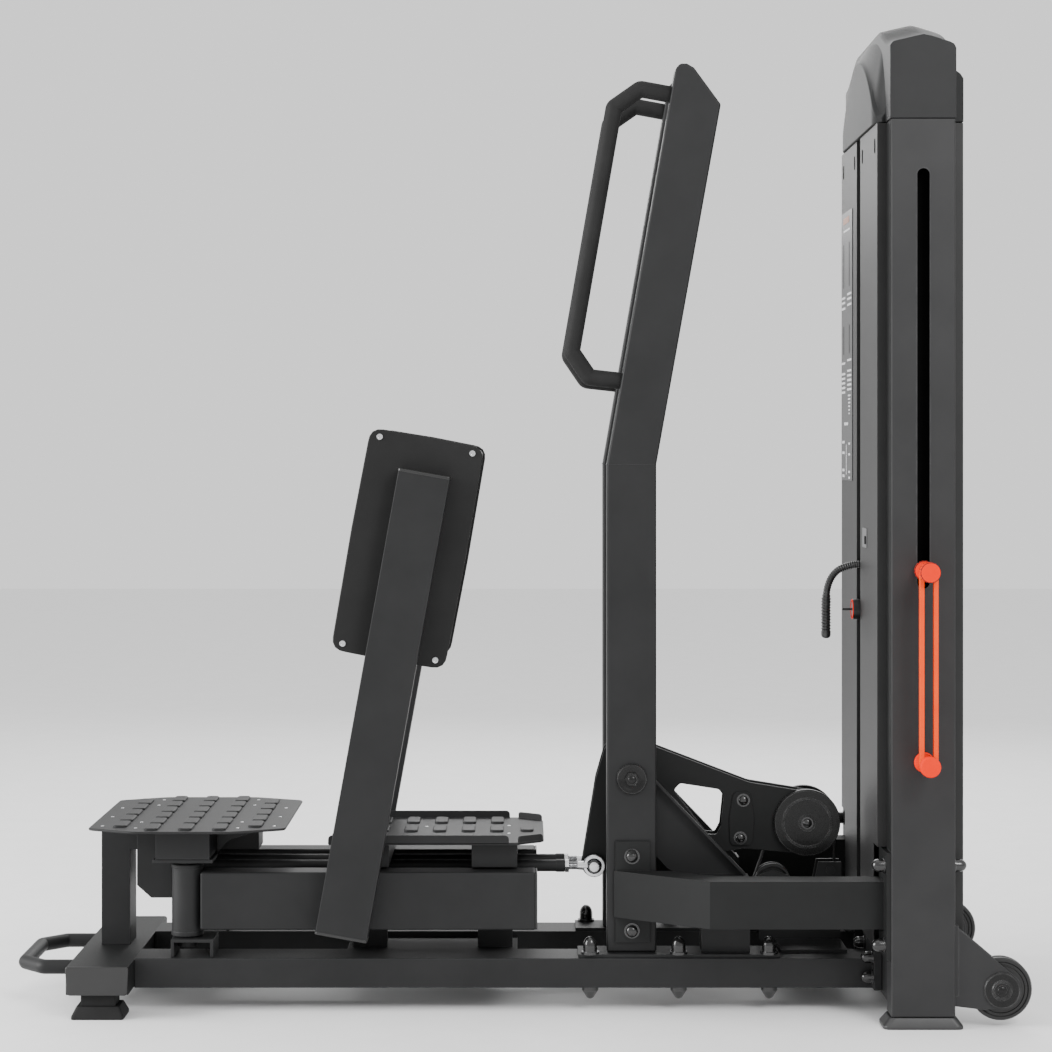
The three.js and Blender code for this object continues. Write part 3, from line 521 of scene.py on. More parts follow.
# ---------- studio ----------
def area_light(name, location, target, width, height, power):
    data = bpy.data.lights.new(name, "AREA")
    data.shape = "RECTANGLE"
    data.size, data.size_y, data.energy = width, height, power
    light = show(bpy.data.objects.new(name, data))
    light.location = location
    light.rotation_euler = (Vector(target) - Vector(location)).to_track_quat("-Z", "Y").to_euler()


def make_studio():
    bm = bmesh.new()
    bmesh.ops.create_grid(bm, x_segments=2, y_segments=2, size=14000)
    floor = link(bm, "floor")
    pale = finish_of("pale_floor", 0.86, 0.89, 0.7, 300, 0.05, specular=0.2)
    floor.data.materials.append(pale)
    world = bpy.data.worlds.new("studio")
    world.use_nodes = True
    world.node_tree.nodes["Background"].inputs["Color"].default_value = (1, 1, 1, 1)
    world.node_tree.nodes["Background"].inputs["Strength"].default_value = 1.15
    bpy.context.scene.world = world
    middle = (0, 0, 0.9)
    area_light("left_key", (-4.8, -1.0, 1.9), middle, 2.6, 2.6, 380)
    area_light("right_fill", (2.6, -3.8, 3.4), middle, 2.4, 2.4, 60)
    area_light("tower_front", (1.9, -3.4, 3.1), (0.8, 0, 1.7), 1.2, 1.2, 75)
    area_light("top", (0, -0.5, 4.2), middle, 3.5, 3.0, 22)
    area_light("back_rim", (0.6, 3.6, 2.8), middle, 3.0, 2.0, 90)


make_studio()


# ---------- CAD nodes that keep their shape ----------
def keep(name, material, bevel):
    """Finishes a CAD node in place: joins its split corners, clears its triangles, rounds its edges."""
    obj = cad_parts[name]
    weld = obj.modifiers.new("weld", "WELD")
    weld.merge_threshold = 0.02 * MM
    planes = obj.modifiers.new("planes", "DECIMATE")
    planes.decimate_type = "DISSOLVE"
    planes.angle_limit = math.radians(1)
    soften(obj, bevel, 2, 30)
    coated(obj, material)


KEPT = {
    "coat": ("platform_frame", "foot_plate_frame", "tower_base", "tower_top", "pulley_bracket",
             "near_pivot_mount", "far_pivot_mount", "near_base_rail", "far_base_rail",
             "near_upright_mount", "far_upright_mount", "near_pad_arm", "far_pad_arm"),
    # These kept nodes take the darker copy of the powder coat, as painted shade.
    "shaded_coat": ("base_cross_member", "near_brace", "far_brace"),
    "sheet": ("rear_panel", "near_front_panel", "far_front_panel"),
    "iron": ("lower_weight_plates", "stack_carriage"),
}
TUBE_CORNER, PLATE_EDGE = 2.5, 0.7
for finish, names in KEPT.items():
    for name in names:
        keep(name, finish, TUBE_CORNER if finish in ("coat", "shaded_coat") else PLATE_EDGE)


# ---------- fasteners ----------
def dome(axis, centre, sign, r, height, flange=0.0):
    """A domed bolt head or nut cap, with a washer under it where flange is given."""
    low = 0.14 * height if flange else 0.0
    profile = [(0, 0), (flange, 0), (flange, low)] if flange else [(0, 0)]
    profile += [(r, low), (r, 0.45 * height)]
    for k in range(1, 6):
        t = math.radians(15 * k)
        profile.append((r * math.cos(t), height * (0.45 + 0.55 * math.sin(t))))
    profile.append((0, height))
    return lathe(axis, centre, [(a, b * sign) for a, b in profile], 24)


def cone(centre, r, height):
    """A pointed nut cap that hangs under a rail."""
    profile = [(0, 0), (r, 0), (r, -0.3 * height), (0.42 * r, -0.9 * height), (0.2 * r, -height),
               (0, -height)]
    return lathe("z", centre, profile, 24)


def hexagon(axis, centre, r, length, bevel=0.6):
    u, v, w = {"x": (1, 2, 0), "y": (0, 2, 1), "z": (0, 1, 2)}[axis]
    outline = [(centre[u] + r * math.cos(math.radians(60 * k)),
                centre[v] + r * math.sin(math.radians(60 * k))) for k in range(6)]
    return prism(axis, outline, centre[w] - length / 2, centre[w] + length / 2, bevel)


# ---------- base ----------
def frustum(x0, x1, y0, y1, z0, z1, inset_x, inset_y, corner=6):
    """A foot whose top is drawn in."""
    cx, cy = (x0 + x1) / 2, (y0 + y1) / 2
    w, d = x1 - x0, y1 - y0
    levels = [(z0, 0.0), (z0 + 6, 0.0), (z1, 1.0)]
    return loft([level(rounded_rect(cx, cy, w - 2 * inset_x * k, d - 2 * inset_y * k, corner), z)
                         for z, k in levels], 1.2)


def level(outline, z):
    return [(x, y, z) for x, y in outline]


def make_base():
    x0, x1, y0, y1, z0, z1 = span("far_base_foot")
    foot = frustum(x0, x1, y0, y1, z0, z0 + 24, 9, 8)
    neck = block(x0 + 17, x1 - 17, y0 + 12, y1 - 12, z0 + 23, z1, 2)
    pair([foot, neck], "foot", "rubber", node="base_foot")
    x0, x1, y0, y1, z0, z1 = span("far_column_foot")
    pair(frustum(x0, x1, y0, y1, z0, z1, 12, 6, 14), "tower_foot", "foot", node="column_foot")

    x0, x1, _, y1, z0, z1 = span("base_cross_member")
    mid, half = (x0 + x1) / 2, (x1 - x0) / 2
    outline = [(mid - half * 0.95, z0 - 0.6), (mid + half * 0.97, z0 - 0.6), (mid + half + 1, z1 + 1),
               (mid - half - 1, z1 + 1)]
    lip = prism("y", rounded(outline, [7, 7, 6, 6]), y1 - 1, y1 + 3.5, 1.6)
    pair(lip, "cross_member_cap", "knob")

    hx0, _, _, _, hz0, hz1 = span("lift_handle")
    z = (hz0 + hz1) / 2
    r = (hz1 - hz0) / 2
    out, bend, leg_y = hx0 + r, -916, 130
    points = [(x0 + 2, -leg_y, z), (bend, -leg_y, z), (out, -84, z), (out, 84, z), (bend, leg_y, z),
              (x0 + 2, leg_y, z)]
    handle = sweep(route(points, 12, 3), r, 24)
    fillet = [(r - 2, -3.5), (r + 2, -2), (r + 3.2, 0), (r - 2, 0)]
    welds = [lathe("x", (x0, s * leg_y, z), fillet, 24) for s in (-1, 1)]
    dress([handle, *welds], "lift_handle_tube", "coat", node="lift_handle")


make_base()


def nut_caps():
    """Caps over the bolts that hold the uprights' base plates to the rails."""
    caps = []
    rail_y, rail_z0 = 165, span("far_base_rail")[4]
    plate_top, tower_face = 108.5, 691
    for x in (148, 319, 494):
        caps.append(dome("z", (x, rail_y, plate_top), 1, 13.5, 34, 17))
        caps.append(cone((x, rail_y, rail_z0 + 0.4), 16, 24))
    for y, z in ((194, 70), (194, 108), (80, 114)):
        caps.append(dome("x", (tower_face, y, z), -1, 11.5, 24, 14))
    return caps


pair(nut_caps(), "nut_caps", "bolt")


# ---------- platforms ----------
TREAD_WIDTH = 27


def treads(spots, z, width, length, height=4.5):
    """Pressed studs standing on a plate, each a rounded bar with a flat top."""
    made = []
    for x, y in spots:
        levels = [(0, -1.0), (0, height * 0.45), (0.8, height * 0.8), (2.2, height)]
        made.append(loft([level(rounded_rect(x, y, width - 2 * d, length - 2 * d, 10 - d), z + h)
                                   for d, h in levels], angle=28))
    return made


def make_step():
    x0, x1, y0, y1, _, z1 = span("step_platform")
    z0 = z1 - 5
    left, right, side = -727, -540, 190  # where the chamfered corners start
    edge = [(x0, side), (x0, -side), (left, y0), (right, y0), (x1, -side), (x1, side), (right, y1),
            (left, y1)]
    plate = prism("z", rounded(edge, [18, 18, 60, 60, 18, 18, 60, 60], 7), z0, z1, 2.2, (), 3)
    mid, pitch = (x0 + x1) / 2, 65
    spots = [(mid + pitch * k, y) for k in (-2, 2) for y in (-152, -76, 0, 76, 152)]
    spots += [(mid + pitch * k, y) for k in (-1, 0, 1) for y in (-190, -114, -38, 38, 114, 190)]
    rib = block(-812, -446, -36, 36, z0 - 4.7, z0 + 1, 2)
    whole = join([plate, rib, *treads(spots, z1, TREAD_WIDTH, 66)])
    hook = rounded([(-581, 292), (-560, 318), (-506, 334), (-506, 345), (-581, 345)], [4, 34, 2, 2, 2])
    hooks = [prism("y", hook, s * 97, s * 103, 1.2) for s in (-1, 1)]
    shelf = [block(-697, -581, s * 100, s * 172, 284, 291.6, 1.5) for s in (-1, 1)]
    dress([*hooks, *shelf], "step_gussets", "coat")
    dress(whole, "step_plate", "coat", node="step_platform")
    rivets = [(mid + s * 98, y) for s in (-1, 1) for y in (-190, -114, 114, 190)]
    rivets += [(mid + s * 166, y) for s in (-1, 1) for y in (-165, -45, 75)]
    heads = [dome("z", (x, y, z1 - 0.2), 1, 3.2, 1.3) for x, y in rivets]
    dress(heads, "step_rivets", "steel")


make_step()


def make_foot_plate():
    x0, x1, y0, y1, z0, z1 = span("foot_plate")
    deck_top = z0 + 5
    neck, toe = 7, y1 - 37
    edge = [(x0, y0), (neck, y0), (x1, -toe), (x1, toe), (neck, y1), (x0, y1)]
    deck = prism("z", rounded(edge, [6, 10, 26, 26, 10, 6], 6), z0, deck_top, 1.4)
    parts = [deck]
    lip = rounded([(x0, z0 + 1), (neck - 16, z0 + 1), (neck - 16, z1), (x0, z1)], [0, 0, 9, 9])
    toe_lip = rounded([(0, z0 + 1), (58, z0 + 1), (58, z1 - 2), (0, z1 - 2)], [0, 3, 10, 6])
    lean = math.atan2(y1 - toe, x1 - neck)
    for s in (-1, 1):
        parts.append(prism("y", lip, s * (y1 - 3.5), s * y1, 1.2))
        piece = prism("y", toe_lip, -2, 2, 1.2)
        piece.data.transform(Matrix.Translation(((neck + 2) * MM, s * (y1 - 5) * MM, 0))
                             @ Matrix.Rotation(-s * lean, 4, "Z"))
        parts.append(piece)
    spots = [(-205 + 57 * k, y) for k in (-2, -1, 0, 1, 2, 3) for y in (-110, 0, 110)]
    parts += treads(spots, deck_top, TREAD_WIDTH, 72)
    parts += treads([(26, -8)], deck_top, 26, 44)
    dress(parts, "foot_plate_deck", "coat", node="foot_plate")
    rivets = [(-176, 38), (-93, 38), (-10, -50), (-10, 50), (-290, 38)]
    heads = [dome("z", (x, y, deck_top - 0.2), 1, 3.4, 1.3) for x, y in rivets]
    dress(heads, "foot_plate_rivets", "steel")


make_foot_plate()


# ---------- uprights and grab handles ----------
# The upright's outline above its bend, and the height of the bend.
UPRIGHT_TOP = [(402, 1753), (350, 1824), (336, 1832), (323, 1832), (314, 1822)]
BEND_Z = 1054


def make_upright():
    x0, _, y0, y1, z0, _ = span("far_upright")
    x1 = x0 + 95.6
    edge = [(x0, z0), (x1, z0), (x1, BEND_Z), *UPRIGHT_TOP, (x0, BEND_Z)]
    tube = prism("y", edge, y0, y1, 4.5, (), 4)
    pair(tube, "upright_tube", "coat", node="upright")
    weld = sweep([(x0 - 0.1, y0 + 4, BEND_Z), (x0 - 0.1, y1 - 4, BEND_Z)], 0.9, 12)
    seam = sweep([(x0 + 3, y1 - 0.4, BEND_Z), (x1 - 3, y1 - 0.4, BEND_Z)], 0.8, 12)
    pair([weld, seam], "upright_weld", "coat")

    y = (y0 + y1) / 2
    points = [(306.5, y, 1775), (247, y, 1786), (195.5, y, 1750), (113, y, 1274), (147, y, 1224),
              (209.5, y, 1217)]
    handle = sweep(route(points, 9, 4), 16.4, 32)
    pair(handle, "grab_handle_grip", "rubber", node="grab_handle")


make_upright()


SHAFT = (229, 445)       # the lever shaft's axis, x and z


def shaft_end():
    """The domed washer and bolt head on one end of the lever's shaft."""
    x, z = SHAFT
    y1 = span("far_upright")[3]
    profile = [(0, 0), (29.5, 0), (29.5, 4.4), (28, 6.6), (26, 6.9), (20, 5.2), (15, 3.8), (0, 3.8)]
    return [lathe("y", (x, y1, z), profile, 64),
            hexagon("y", (x, y1 + 7.4, z), 13, 8, 1.2), dome("y", (x, y1 + 11, z), 1, 8.4, 7)]


pair(shaft_end(), "shaft_end", "guard")
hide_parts("lever_shaft")
dress(disc("y", (SHAFT[0], 0, SHAFT[1]), 12, 311, 0.5), "lever_shaft_bar", "steel")


def brace_fasteners():
    """Bolt heads on the upright's plate, and nut caps before and behind the column."""
    made = [dome("y", (SHAFT[0], 161, z), 1, 11.5, 13, 15) for z in (152, 296)]
    for z in (152, 302):
        made.append(dome("x", (699.2, 300, z), -1, 12.5, 26, 15))
        made.append(dome("x", (826.8, 300, z), 1, 12, 25, 14))
    return made


pair(brace_fasteners(), "brace_bolts", "bolt")


# ---------- tower ----------
def carve(obj, *cutters):
    """Cuts the cutters out of a piece, and applies its modifiers."""
    for i, cutter in enumerate(cutters):
        cut = obj.modifiers.new(f"cut{i}", "BOOLEAN")
        cut.operation, cut.solver, cut.object = "DIFFERENCE", "EXACT", cutter
    mesh = applied(obj)
    obj.modifiers.clear()
    obj.data = mesh
    for cutter in cutters:
        bpy.data.objects.remove(cutter)
    return sharp(obj, 30)


def slot_outline(x, z0, z1, half):
    return arc(x, z1 - half, half, 0, 180, 16) + arc(x, z0 + half, half, 180, 360, 16)


WHEEL = (915, 71)        # the wheels' axle, x and z


def make_column():
    z0, z1 = span("far_column")[4:]
    x0, x1, y0, y1 = 707, 827, 265, 325
    wall, slot_x, slot_z0, slot_z1 = 3, 767, 823, 1610
    tube = block(x0, x1, y0, y1, z0, z1, 3.2, 4)
    hollow = block(x0 + wall, x1 - wall, y0 + wall, y1 - wall, z0 - 5, z1 + 5, 0)
    slot = prism("y", slot_outline(slot_x, slot_z0, slot_z1, 12), y0 - 9, y1 + 9, 0)
    column = carve(tube, hollow, slot)
    rim = prism("y", slot_outline(slot_x, slot_z0 - 1.5, slot_z1 + 1.5, 13.5), y1 - 0.5, y1 + 0.9,
                0.6, [slot_outline(slot_x, slot_z0 + 0.6, slot_z1 - 0.6, 11.4)])
    wx, wz = WHEEL
    cheek = [(x1 - 1, 193), (x1 - 1, 41), (882, 34), *arc(wx, wz, 37, -110, 65, 14)]
    cheeks = [prism("y", cheek, y, y + 5, 1.2) for y in (270, 313)]
    lip = prism("z", [(x1 - 1, 269), (x1 + 7, 269), (x1 + 7, 319), (x1 - 1, 319)], 60, 192, 1)
    # The column takes the lighter copy of the powder coat: painted light.
    pair([column, rim, *cheeks, lip], "column_tube", "column", node="column")
    # A thin dark strip laid over the column's -X face: painted shade.
    strip = block(x0 - 0.8, x0 + 1, y0 + 3, y1 - 4, 332, 1700, 0.4)
    pair(strip, "column_shaded_side", "shaded_coat")
    back = block(x0 + 8, x1 - 8, y0 + 24, y0 + 27, 800, 1640, 0)
    pair(back, "slot_shade", "dark")
    washer = [(0, 0), (34, 0), (34, 2.2), (32, 4), (19, 2.6), (17.5, 4), (15, 4), (14, 2.4), (0, 2.4)]
    hub = [lathe("y", (wx, 318, wz), washer), dome("y", (wx, 320, wz), 1, 9, 7)]
    pair(hub, "wheel_hub", "guard")


make_column()


def make_wheels():
    x0, x1, y0, y1, z0, z1 = span("far_wheel")
    half, r = (y1 - y0) / 2, (z1 - z0) / 2
    profile = [(9, -half), (34, -half), (36, 3 - half), (r - 15, 3.4 - half), (r - 14, 1.2 - half),
               (r - 12.5, 1.2 - half), (r - 12, 3 - half), (r - 9, 3 - half), (r - 7, 1 - half),
               (r - 2.5, 1.6 - half), (r, 6 - half)]
    profile += [(r, -4), (r - 1.6, -2.5), (r - 1.6, 2.5), (r, 4)]
    profile += [(a, -b) for a, b in reversed(profile[:11])]
    wheel = lathe("y", ((x0 + x1) / 2, (y0 + y1) / 2, (z0 + z1) / 2), profile, 64)
    pair(wheel, "tyre", "tyre", "{}_wheel", "wheel")


make_wheels()


def make_cap():
    x0, x1, _, _, z0, _ = span("tower_cap")
    front, back = 705, 829
    shoulder, ridge_x, ridge_z, rise = 1847, 768, 1861, 46
    end, flat = 325, 130

    def lift(y):
        out = max(0.0, (abs(y) - flat) / (end - flat))
        return rise * (1 - out * out * (3 - 2 * out))

    def shell(y):
        up = lift(y)
        return [(front, z0), (back, z0), (back, shoulder - 12 + up), (back - 4, shoulder - 4 + up),
                (back - 12, shoulder + up), (ridge_x + 14, ridge_z - 3 + up), (ridge_x, ridge_z + up),
                (ridge_x - 14, ridge_z - 3 + up), (front + 6, shoulder + 1 + up),
                (front, shoulder - 6 + up)]

    def front_hood(y):
        """An arched face that slopes back to the shell's crest, and draws in at its ends."""
        tuck = max(0.0, (abs(y) - 215) / 49) ** 1.5
        out = x0 + 12 * tuck
        up = max(1722, 1862 - 0.0023 * y * y)
        crest = (1 - tuck) * (shoulder - 5 + lift(y)) + tuck * 1814
        return [(front + 4, z0), (out, z0), (out, up - 10), (out + 6, up - 1), (front + 4, crest)]

    def rear_hood(_):
        top = 1797
        return [(back - 4, z0), (x1, z0), (x1, top - 10), (x1 - 6, top - 1), (back - 4, top + 15)]

    def across(section, reach, count, bevel):
        """A solid from the sections at 2 * count + 1 stations between -reach and reach."""
        stations = [reach * k / count for k in range(-count, count + 1)]
        return loft([[(x, y, z) for x, z in section(y)] for y in stations], bevel, 3, 35)

    dress([across(shell, end, 40, 2.2)], "cap_shell", "coat", node="tower_cap")
    hoods = [across(section, 264, 24, 2.5) for section in (front_hood, rear_hood)]
    # The hoods take the darker copy of the powder coat: painted shade on the cap's front.
    dress(hoods, "cap_hoods", "shaded_coat")


make_cap()


def make_tower_inside():
    for key in ("near", "far"):
        x0, x1, y0, y1, z0, z1 = span(f"{key}_guide_rod")
        rod = lathe("z", ((x0 + x1) / 2, (y0 + y1) / 2, 0),
                    [(0, z0), (8, z0), (9, z0 + 1), (9, z1 - 1), (8, z1), (0, z1)], 32)
        dress(rod, f"guide_rod_bar_{key}", "steel", node=f"{key}_guide_rod")


make_tower_inside()


def make_pulley(name):
    x0, x1, y0, y1, z0, z1 = span(name)
    r, half = (z1 - z0) / 2, (y1 - y0) / 2
    groove = r - (8 if r > 50 else 4.5)
    profile = [(8, -half), (r * 0.42, -half), (r * 0.46, 3 - half), (r * 0.8, 3 - half),
               (r * 0.84, -half), (r - 1, -half), (r, 1 - half), (r, 3.5 - half), (groove, -3.4),
               (groove, 3.4)]
    profile += [(a, -b) for a, b in reversed(profile[:8])]
    wheel = lathe("y", ((x0 + x1) / 2, 0, (z0 + z1) / 2), profile, 64)
    dress(wheel, name + "_wheel", "pulley", name, name)


for name in ("lever_pulley", "base_pulley", "tower_pulley", "top_pulley"):
    make_pulley(name)


# ---------- pegs, bands and selector ----------
PEG_X, PEG_LOW, PEG_HIGH = 768, 499, 857


def peg(z, start, reach):
    profile = [(0, start), (18.6, start), (19, start + 1.5), (18.6, start + 5), (17.4, start + 6),
               (17.4, 370.5), (8.2, 371.5), (8.2, 388), (18, 388.5), (19, 390), (19, reach - 2.5),
               (17.4, reach), (0, reach)]
    return lathe("y", (PEG_X, 0, z), profile)


pair(peg(PEG_LOW, 325.4, 405.4), "lower_peg_pin", "orange", node="lower_peg")
pair(peg(PEG_HIGH, 328.2, 405.6), "upper_peg_pin", "orange", "stack")


def stretch(obj, name, material, ends, start, end):
    """A piece finished but left on no body, with its transform baked into its mesh; ends, start and end
    are not used.
    """
    dress(obj, name, material, None)
    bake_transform(obj)
    return obj


def make_bands():
    y0, y1 = span("far_band")[2:4]

    def loop(r):
        return arc(PEG_X, PEG_HIGH, r, 0, 180, 24) + arc(PEG_X, PEG_LOW, r, 180, 360, 24)

    for key, s in (("far", 1), ("near", -1)):
        band = join([prism("y", loop(17.2), s * y0, s * y1, 1.4, [loop(8.7)])])
        stretch(band, f"elastic_band_{key}", "band", ("frame", "stack"), (PEG_X, s * y0, 530),
                (PEG_X, s * y0, 826))
        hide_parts(f"{key}_band")


make_bands()


def make_selector():
    z = sum(span("selector_pin")[4:]) / 2
    grip = [(0, 676), (15, 676), (16, 676.4), (19.6, 676.6), (20.3, 678), (20.3, 690), (18, 693),
            (10, 693.5), (10, 697), (0, 697)]
    knob = lathe("x", (0, 0, z), grip, 40)
    dress(knob, "selector_knob", "knob", "selector_pin", "selector_pin")
    band = [(17.2, 675.2), (19.2, 675.2), (20, 675.8), (20, 676.8), (17.2, 676.8)]
    ring = lathe("x", (0, 0, z), band, 40, 0.2)
    dress(ring, "selector_ring", "orange", "selector_pin")
    bar = [(0, 656), (2.4, 656.6), (2.4, 676), (4.8, 697), (4.8, 770), (3.6, 772), (0, 772)]
    pin = lathe("x", (0, 0, z), bar, 24)
    dress(pin, "selector_bar", "knob", "selector_pin")


make_selector()


# ---------- push rods ----------
ROD_Y, ROD_Z = 35, 257
CRANK_X = -664.95


def rod_end(axis, centre):
    """A rod end: an eye with a ball in it."""
    eye = [(14.6, -5.5), (15.6, -8), (20.5, -8), (22, -6.2), (22, 6.2), (20.5, 8), (15.6, 8), (14.6, 5.5)]
    ball = [(10.4, -9.6)]
    for k in range(-4, 5):
        t = math.radians(10.5 * k)
        ball.append((14.4 * math.cos(t), 14.4 * math.sin(t)))
    ball.append((10.4, 9.6))
    return [lathe(axis, centre, eye), lathe(axis, centre, ball, 40)]


def make_rods():
    eye_x = span("far_push_rod")[1] - 22
    axis = (0, ROD_Y, ROD_Z)
    bar = lathe("x", axis, [(0, CRANK_X + 18), (9, CRANK_X + 18), (11.5, CRANK_X + 26), (11.5, 96),
                                   (10.6, 101), (0, 101)], 32)
    cap = lathe("x", axis, [(0, 84), (12.6, 84), (12.6, 100), (11, 101), (0, 101)], 32)
    pair([bar, cap], "push_rod_tube", "coat", "{}_rod", "push_rod")
    nut = hexagon("x", (105.2, ROD_Y, ROD_Z), 14, 8, 0.9)
    thread = [(0, 101)]
    for k in range(9):
        thread += [(7.2, 109.5 + 2 * k), (8, 110.5 + 2 * k)]
    thread += [(8, 130), (9, 138), (9, 146), (0, 146)]
    shank = lathe("x", axis, thread, 28)
    front = rod_end("y", (eye_x, ROD_Y, ROD_Z))
    pair([nut, shank, *front], "rod_end_front", "steel", "{}_rod")
    rear = rod_end("z", (CRANK_X, ROD_Y, ROD_Z))
    neck = lathe("x", axis, [(0, CRANK_X + 14), (8.5, CRANK_X + 14), (8.5, CRANK_X + 27),
                                     (0, CRANK_X + 27)], 28)
    pair([*rear, neck], "rod_end_rear", "steel", "{}_rod")
    bolt = [lathe("z", (CRANK_X, ROD_Y, 0), [(0, 246), (9.8, 246), (9.8, 268), (0, 268)], 24),
            hexagon("z", (CRANK_X, ROD_Y, 272), 13, 8, 1.0), dome("z", (CRANK_X, ROD_Y, 275), 1, 8.5, 5)]
    pair(bolt, "crank_bolt", "bolt", "{}_rod")


make_rods()


# ---------- lever ----------
def make_lever():
    eye_x, pulley_x, pulley_z = 159, 582, 342
    outer = [*arc(eye_x, ROD_Z, 24, 160, 320, 14), (250, 372), (392, 272), (424, 284), (458, 290),
             (547, 282), *arc(pulley_x, pulley_z, 60, -75, 80, 16), (468, 421), (282, 492),
             (245, 510), (205, 512), (180, 488), (163, 429)]
    soft = [0] * 15 + [40, 30, 20, 40, 40] + [0] * 17 + [60, 60, 14, 14, 14, 60]
    window = rounded([(384, 318), (403, 317), (412, 334), (418, 393), (408, 407), (331, 419), (317, 405)],
                     [8, 8, 10, 8, 10, 8, 10], 5)
    patch = rounded([(430, 296), (474, 296), (478, 352), (470, 402), (436, 402), (428, 350)], 12)
    patch_bolts = ((456, 386), (450, 311))
    parts = []
    for s in (-1, 1):
        parts.append(prism("y", rounded(outer, soft, 5), s * 18, s * 26, 1.2, [window]))
        parts.append(prism("y", patch, s * 25.5, s * 30, 1.0))
    for x, z in patch_bolts:
        parts.append(disc("y", (x, 0, z), 12, 37))
    shaft = (SHAFT[0], 0, SHAFT[1])
    hub = [(13, -75), (25, -75), (26, -74), (26, 74), (25, 75), (13, 75)]
    parts.append(lathe("y", shaft, hub, 40))
    collar = [(26, -33), (38, -33), (40, -31), (40, 31), (38, 33), (26, 33)]
    parts.append(lathe("y", shaft, collar))
    # The lever plates take the darker copy of the powder coat: painted shade.
    dress(parts, "lever_plates", "shaded_coat", "lever", "lever")
    profile = [(0, 26.5), (66, 26.5), (66, 37), (64, 40), (50, 40), (49, 41.4), (46.5, 41.4),
               (45.5, 39), (17, 39), (16, 41.6), (13.5, 41.6), (12.5, 40), (0, 40)]
    guards = [lathe("y", (pulley_x, 0, pulley_z), [(a, b * s) for a, b in profile], 72)
              for s in (-1, 1)]
    dress(guards, "pulley_guards", "guard", "lever")
    bolts = []
    for s in (-1, 1):
        for x, z in patch_bolts:
            bolts.append(dome("y", (x, s * 29.5, z), s, 9.5, 9.5, 13))
        bolts.append(dome("y", (pulley_x, s * 40, pulley_z), s, 9, 7.5, 12))
        bolts.append(hexagon("y", (eye_x, s * (ROD_Y + 14.5), ROD_Z), 13.5, 9, 1.0))
    dress(bolts, "lever_bolts", "bolt", "lever")
    dress(disc("y", (eye_x, 0, ROD_Z), 10, 110, 1.0), "lever_pin", "steel", "lever")


make_lever()


# ---------- swing arms and pads ----------
PIVOT = (-635, 130)      # the far arm's vertical axis, x and y
ARM_LEAN = math.radians(10.2)
ARM_AT = (-250.5, 593)   # the middles of the arm tube and of the pad, x and z
PAD_AT = (-205, 892)


def leaned(obj, at):
    """Leans a piece made upright round the Y axis, and sets it down at (x, z)."""
    x, z = at
    turn = Matrix.Rotation(ARM_LEAN, 4, "Y")
    obj.data.transform(Matrix.Translation((x * MM, 0, z * MM)) @ turn)
    return obj


def make_arms():
    x, y = PIVOT
    bore, pipe_z0, pipe_z1 = 16.5, 139, 279
    pipe = lathe("z", (x, y, 0), [(bore, pipe_z0), (29.5, pipe_z0), (30.5, pipe_z0 + 1),
                                          (30.5, pipe_z1 - 1), (29.5, pipe_z1), (bore, pipe_z1)], 56)
    ring = [(29, 0), (31, 0), (31.6, 1), (31.6, 7), (31, 8), (29, 8)]
    rings = [lathe("z", (x, y, z), ring, 56) for z in (140, 270)]
    beam = block(-606, 43, 108, 168, 154, 266, 5, 4)
    bead = sweep([(-605, 108, 156), (-605, 108, 264)], 3.2, 12)
    px, py = CRANK_X, ROD_Y
    reach = Vector((px - x, py - y))
    heading = math.degrees(math.atan2(reach.y, reach.x))
    outline = arc(x, y, 20, heading + 90, heading + 270) + arc(px, py, 20, heading - 90, heading + 90)
    crank = prism("z", outline, 228, 240, 1.5)
    nut = hexagon("z", (px, py, 223), 12, 10, 1.0)
    pair([pipe, *rings, beam, bead, crank, nut], "swing_beam_tube", "coat", "{}_arm",
         "swing_beam")
    end = prism("x", rounded_rect(138, 210, 59, 111, 6), 42, 46, 1.4)
    pair(end, "beam_end_cap", "knob", "{}_arm")
    ends = [prism("z", rounded_rect(0, 193, 102, 52, 7), z, z + 6, 1.4) for z in (-453, 447.5)]
    pair(leaned(join(ends), ARM_AT), "pad_arm_caps", "knob", "{}_arm")


make_arms()


def bowed(width, height, corner, bow):
    """A rounded rectangle whose sides swell outwards by bow, inside the given width and height."""
    w, h = width / 2 - bow, height / 2 - bow
    outline = []
    for x, z, _ in resampled([(x, z, 0) for x, z in rounded_rect(0, 0, 2 * w, 2 * h, corner, 10)], 120):
        outline.append((x + bow * math.copysign(math.cos(math.pi * z / 2 / h), x) * min(1, abs(x) / w),
                        z + bow * math.copysign(math.cos(math.pi * x / 2 / w), z) * min(1, abs(z) / h)))
    return outline


def make_boards():
    board = prism("y", bowed(228, 440, 24, 2.5), 156, 168, 2.6, (), 3)
    pair(leaned(join([board]), PAD_AT), "pad_back", "board", "{}_arm", "pad_board")
    head = [(0, 167.8), (6.4, 167.8), (6.4, 168.8), (5.6, 170), (3.2, 170.3), (2.6, 168.9), (0, 168.9)]
    screws = [lathe("y", (x, 0, z), head, 28) for x in (-91, 91) for z in (-203, 203)]
    pair(leaned(join(screws), PAD_AT), "pad_screws", "steel", "{}_arm")


make_boards()

CUSHION_SWELL = 9        # the furthest that a point of the cushion moves
CUSHION_BACK = 155.6     # the cushion's back, just clear of the board
CLOTH_STEPS = 20


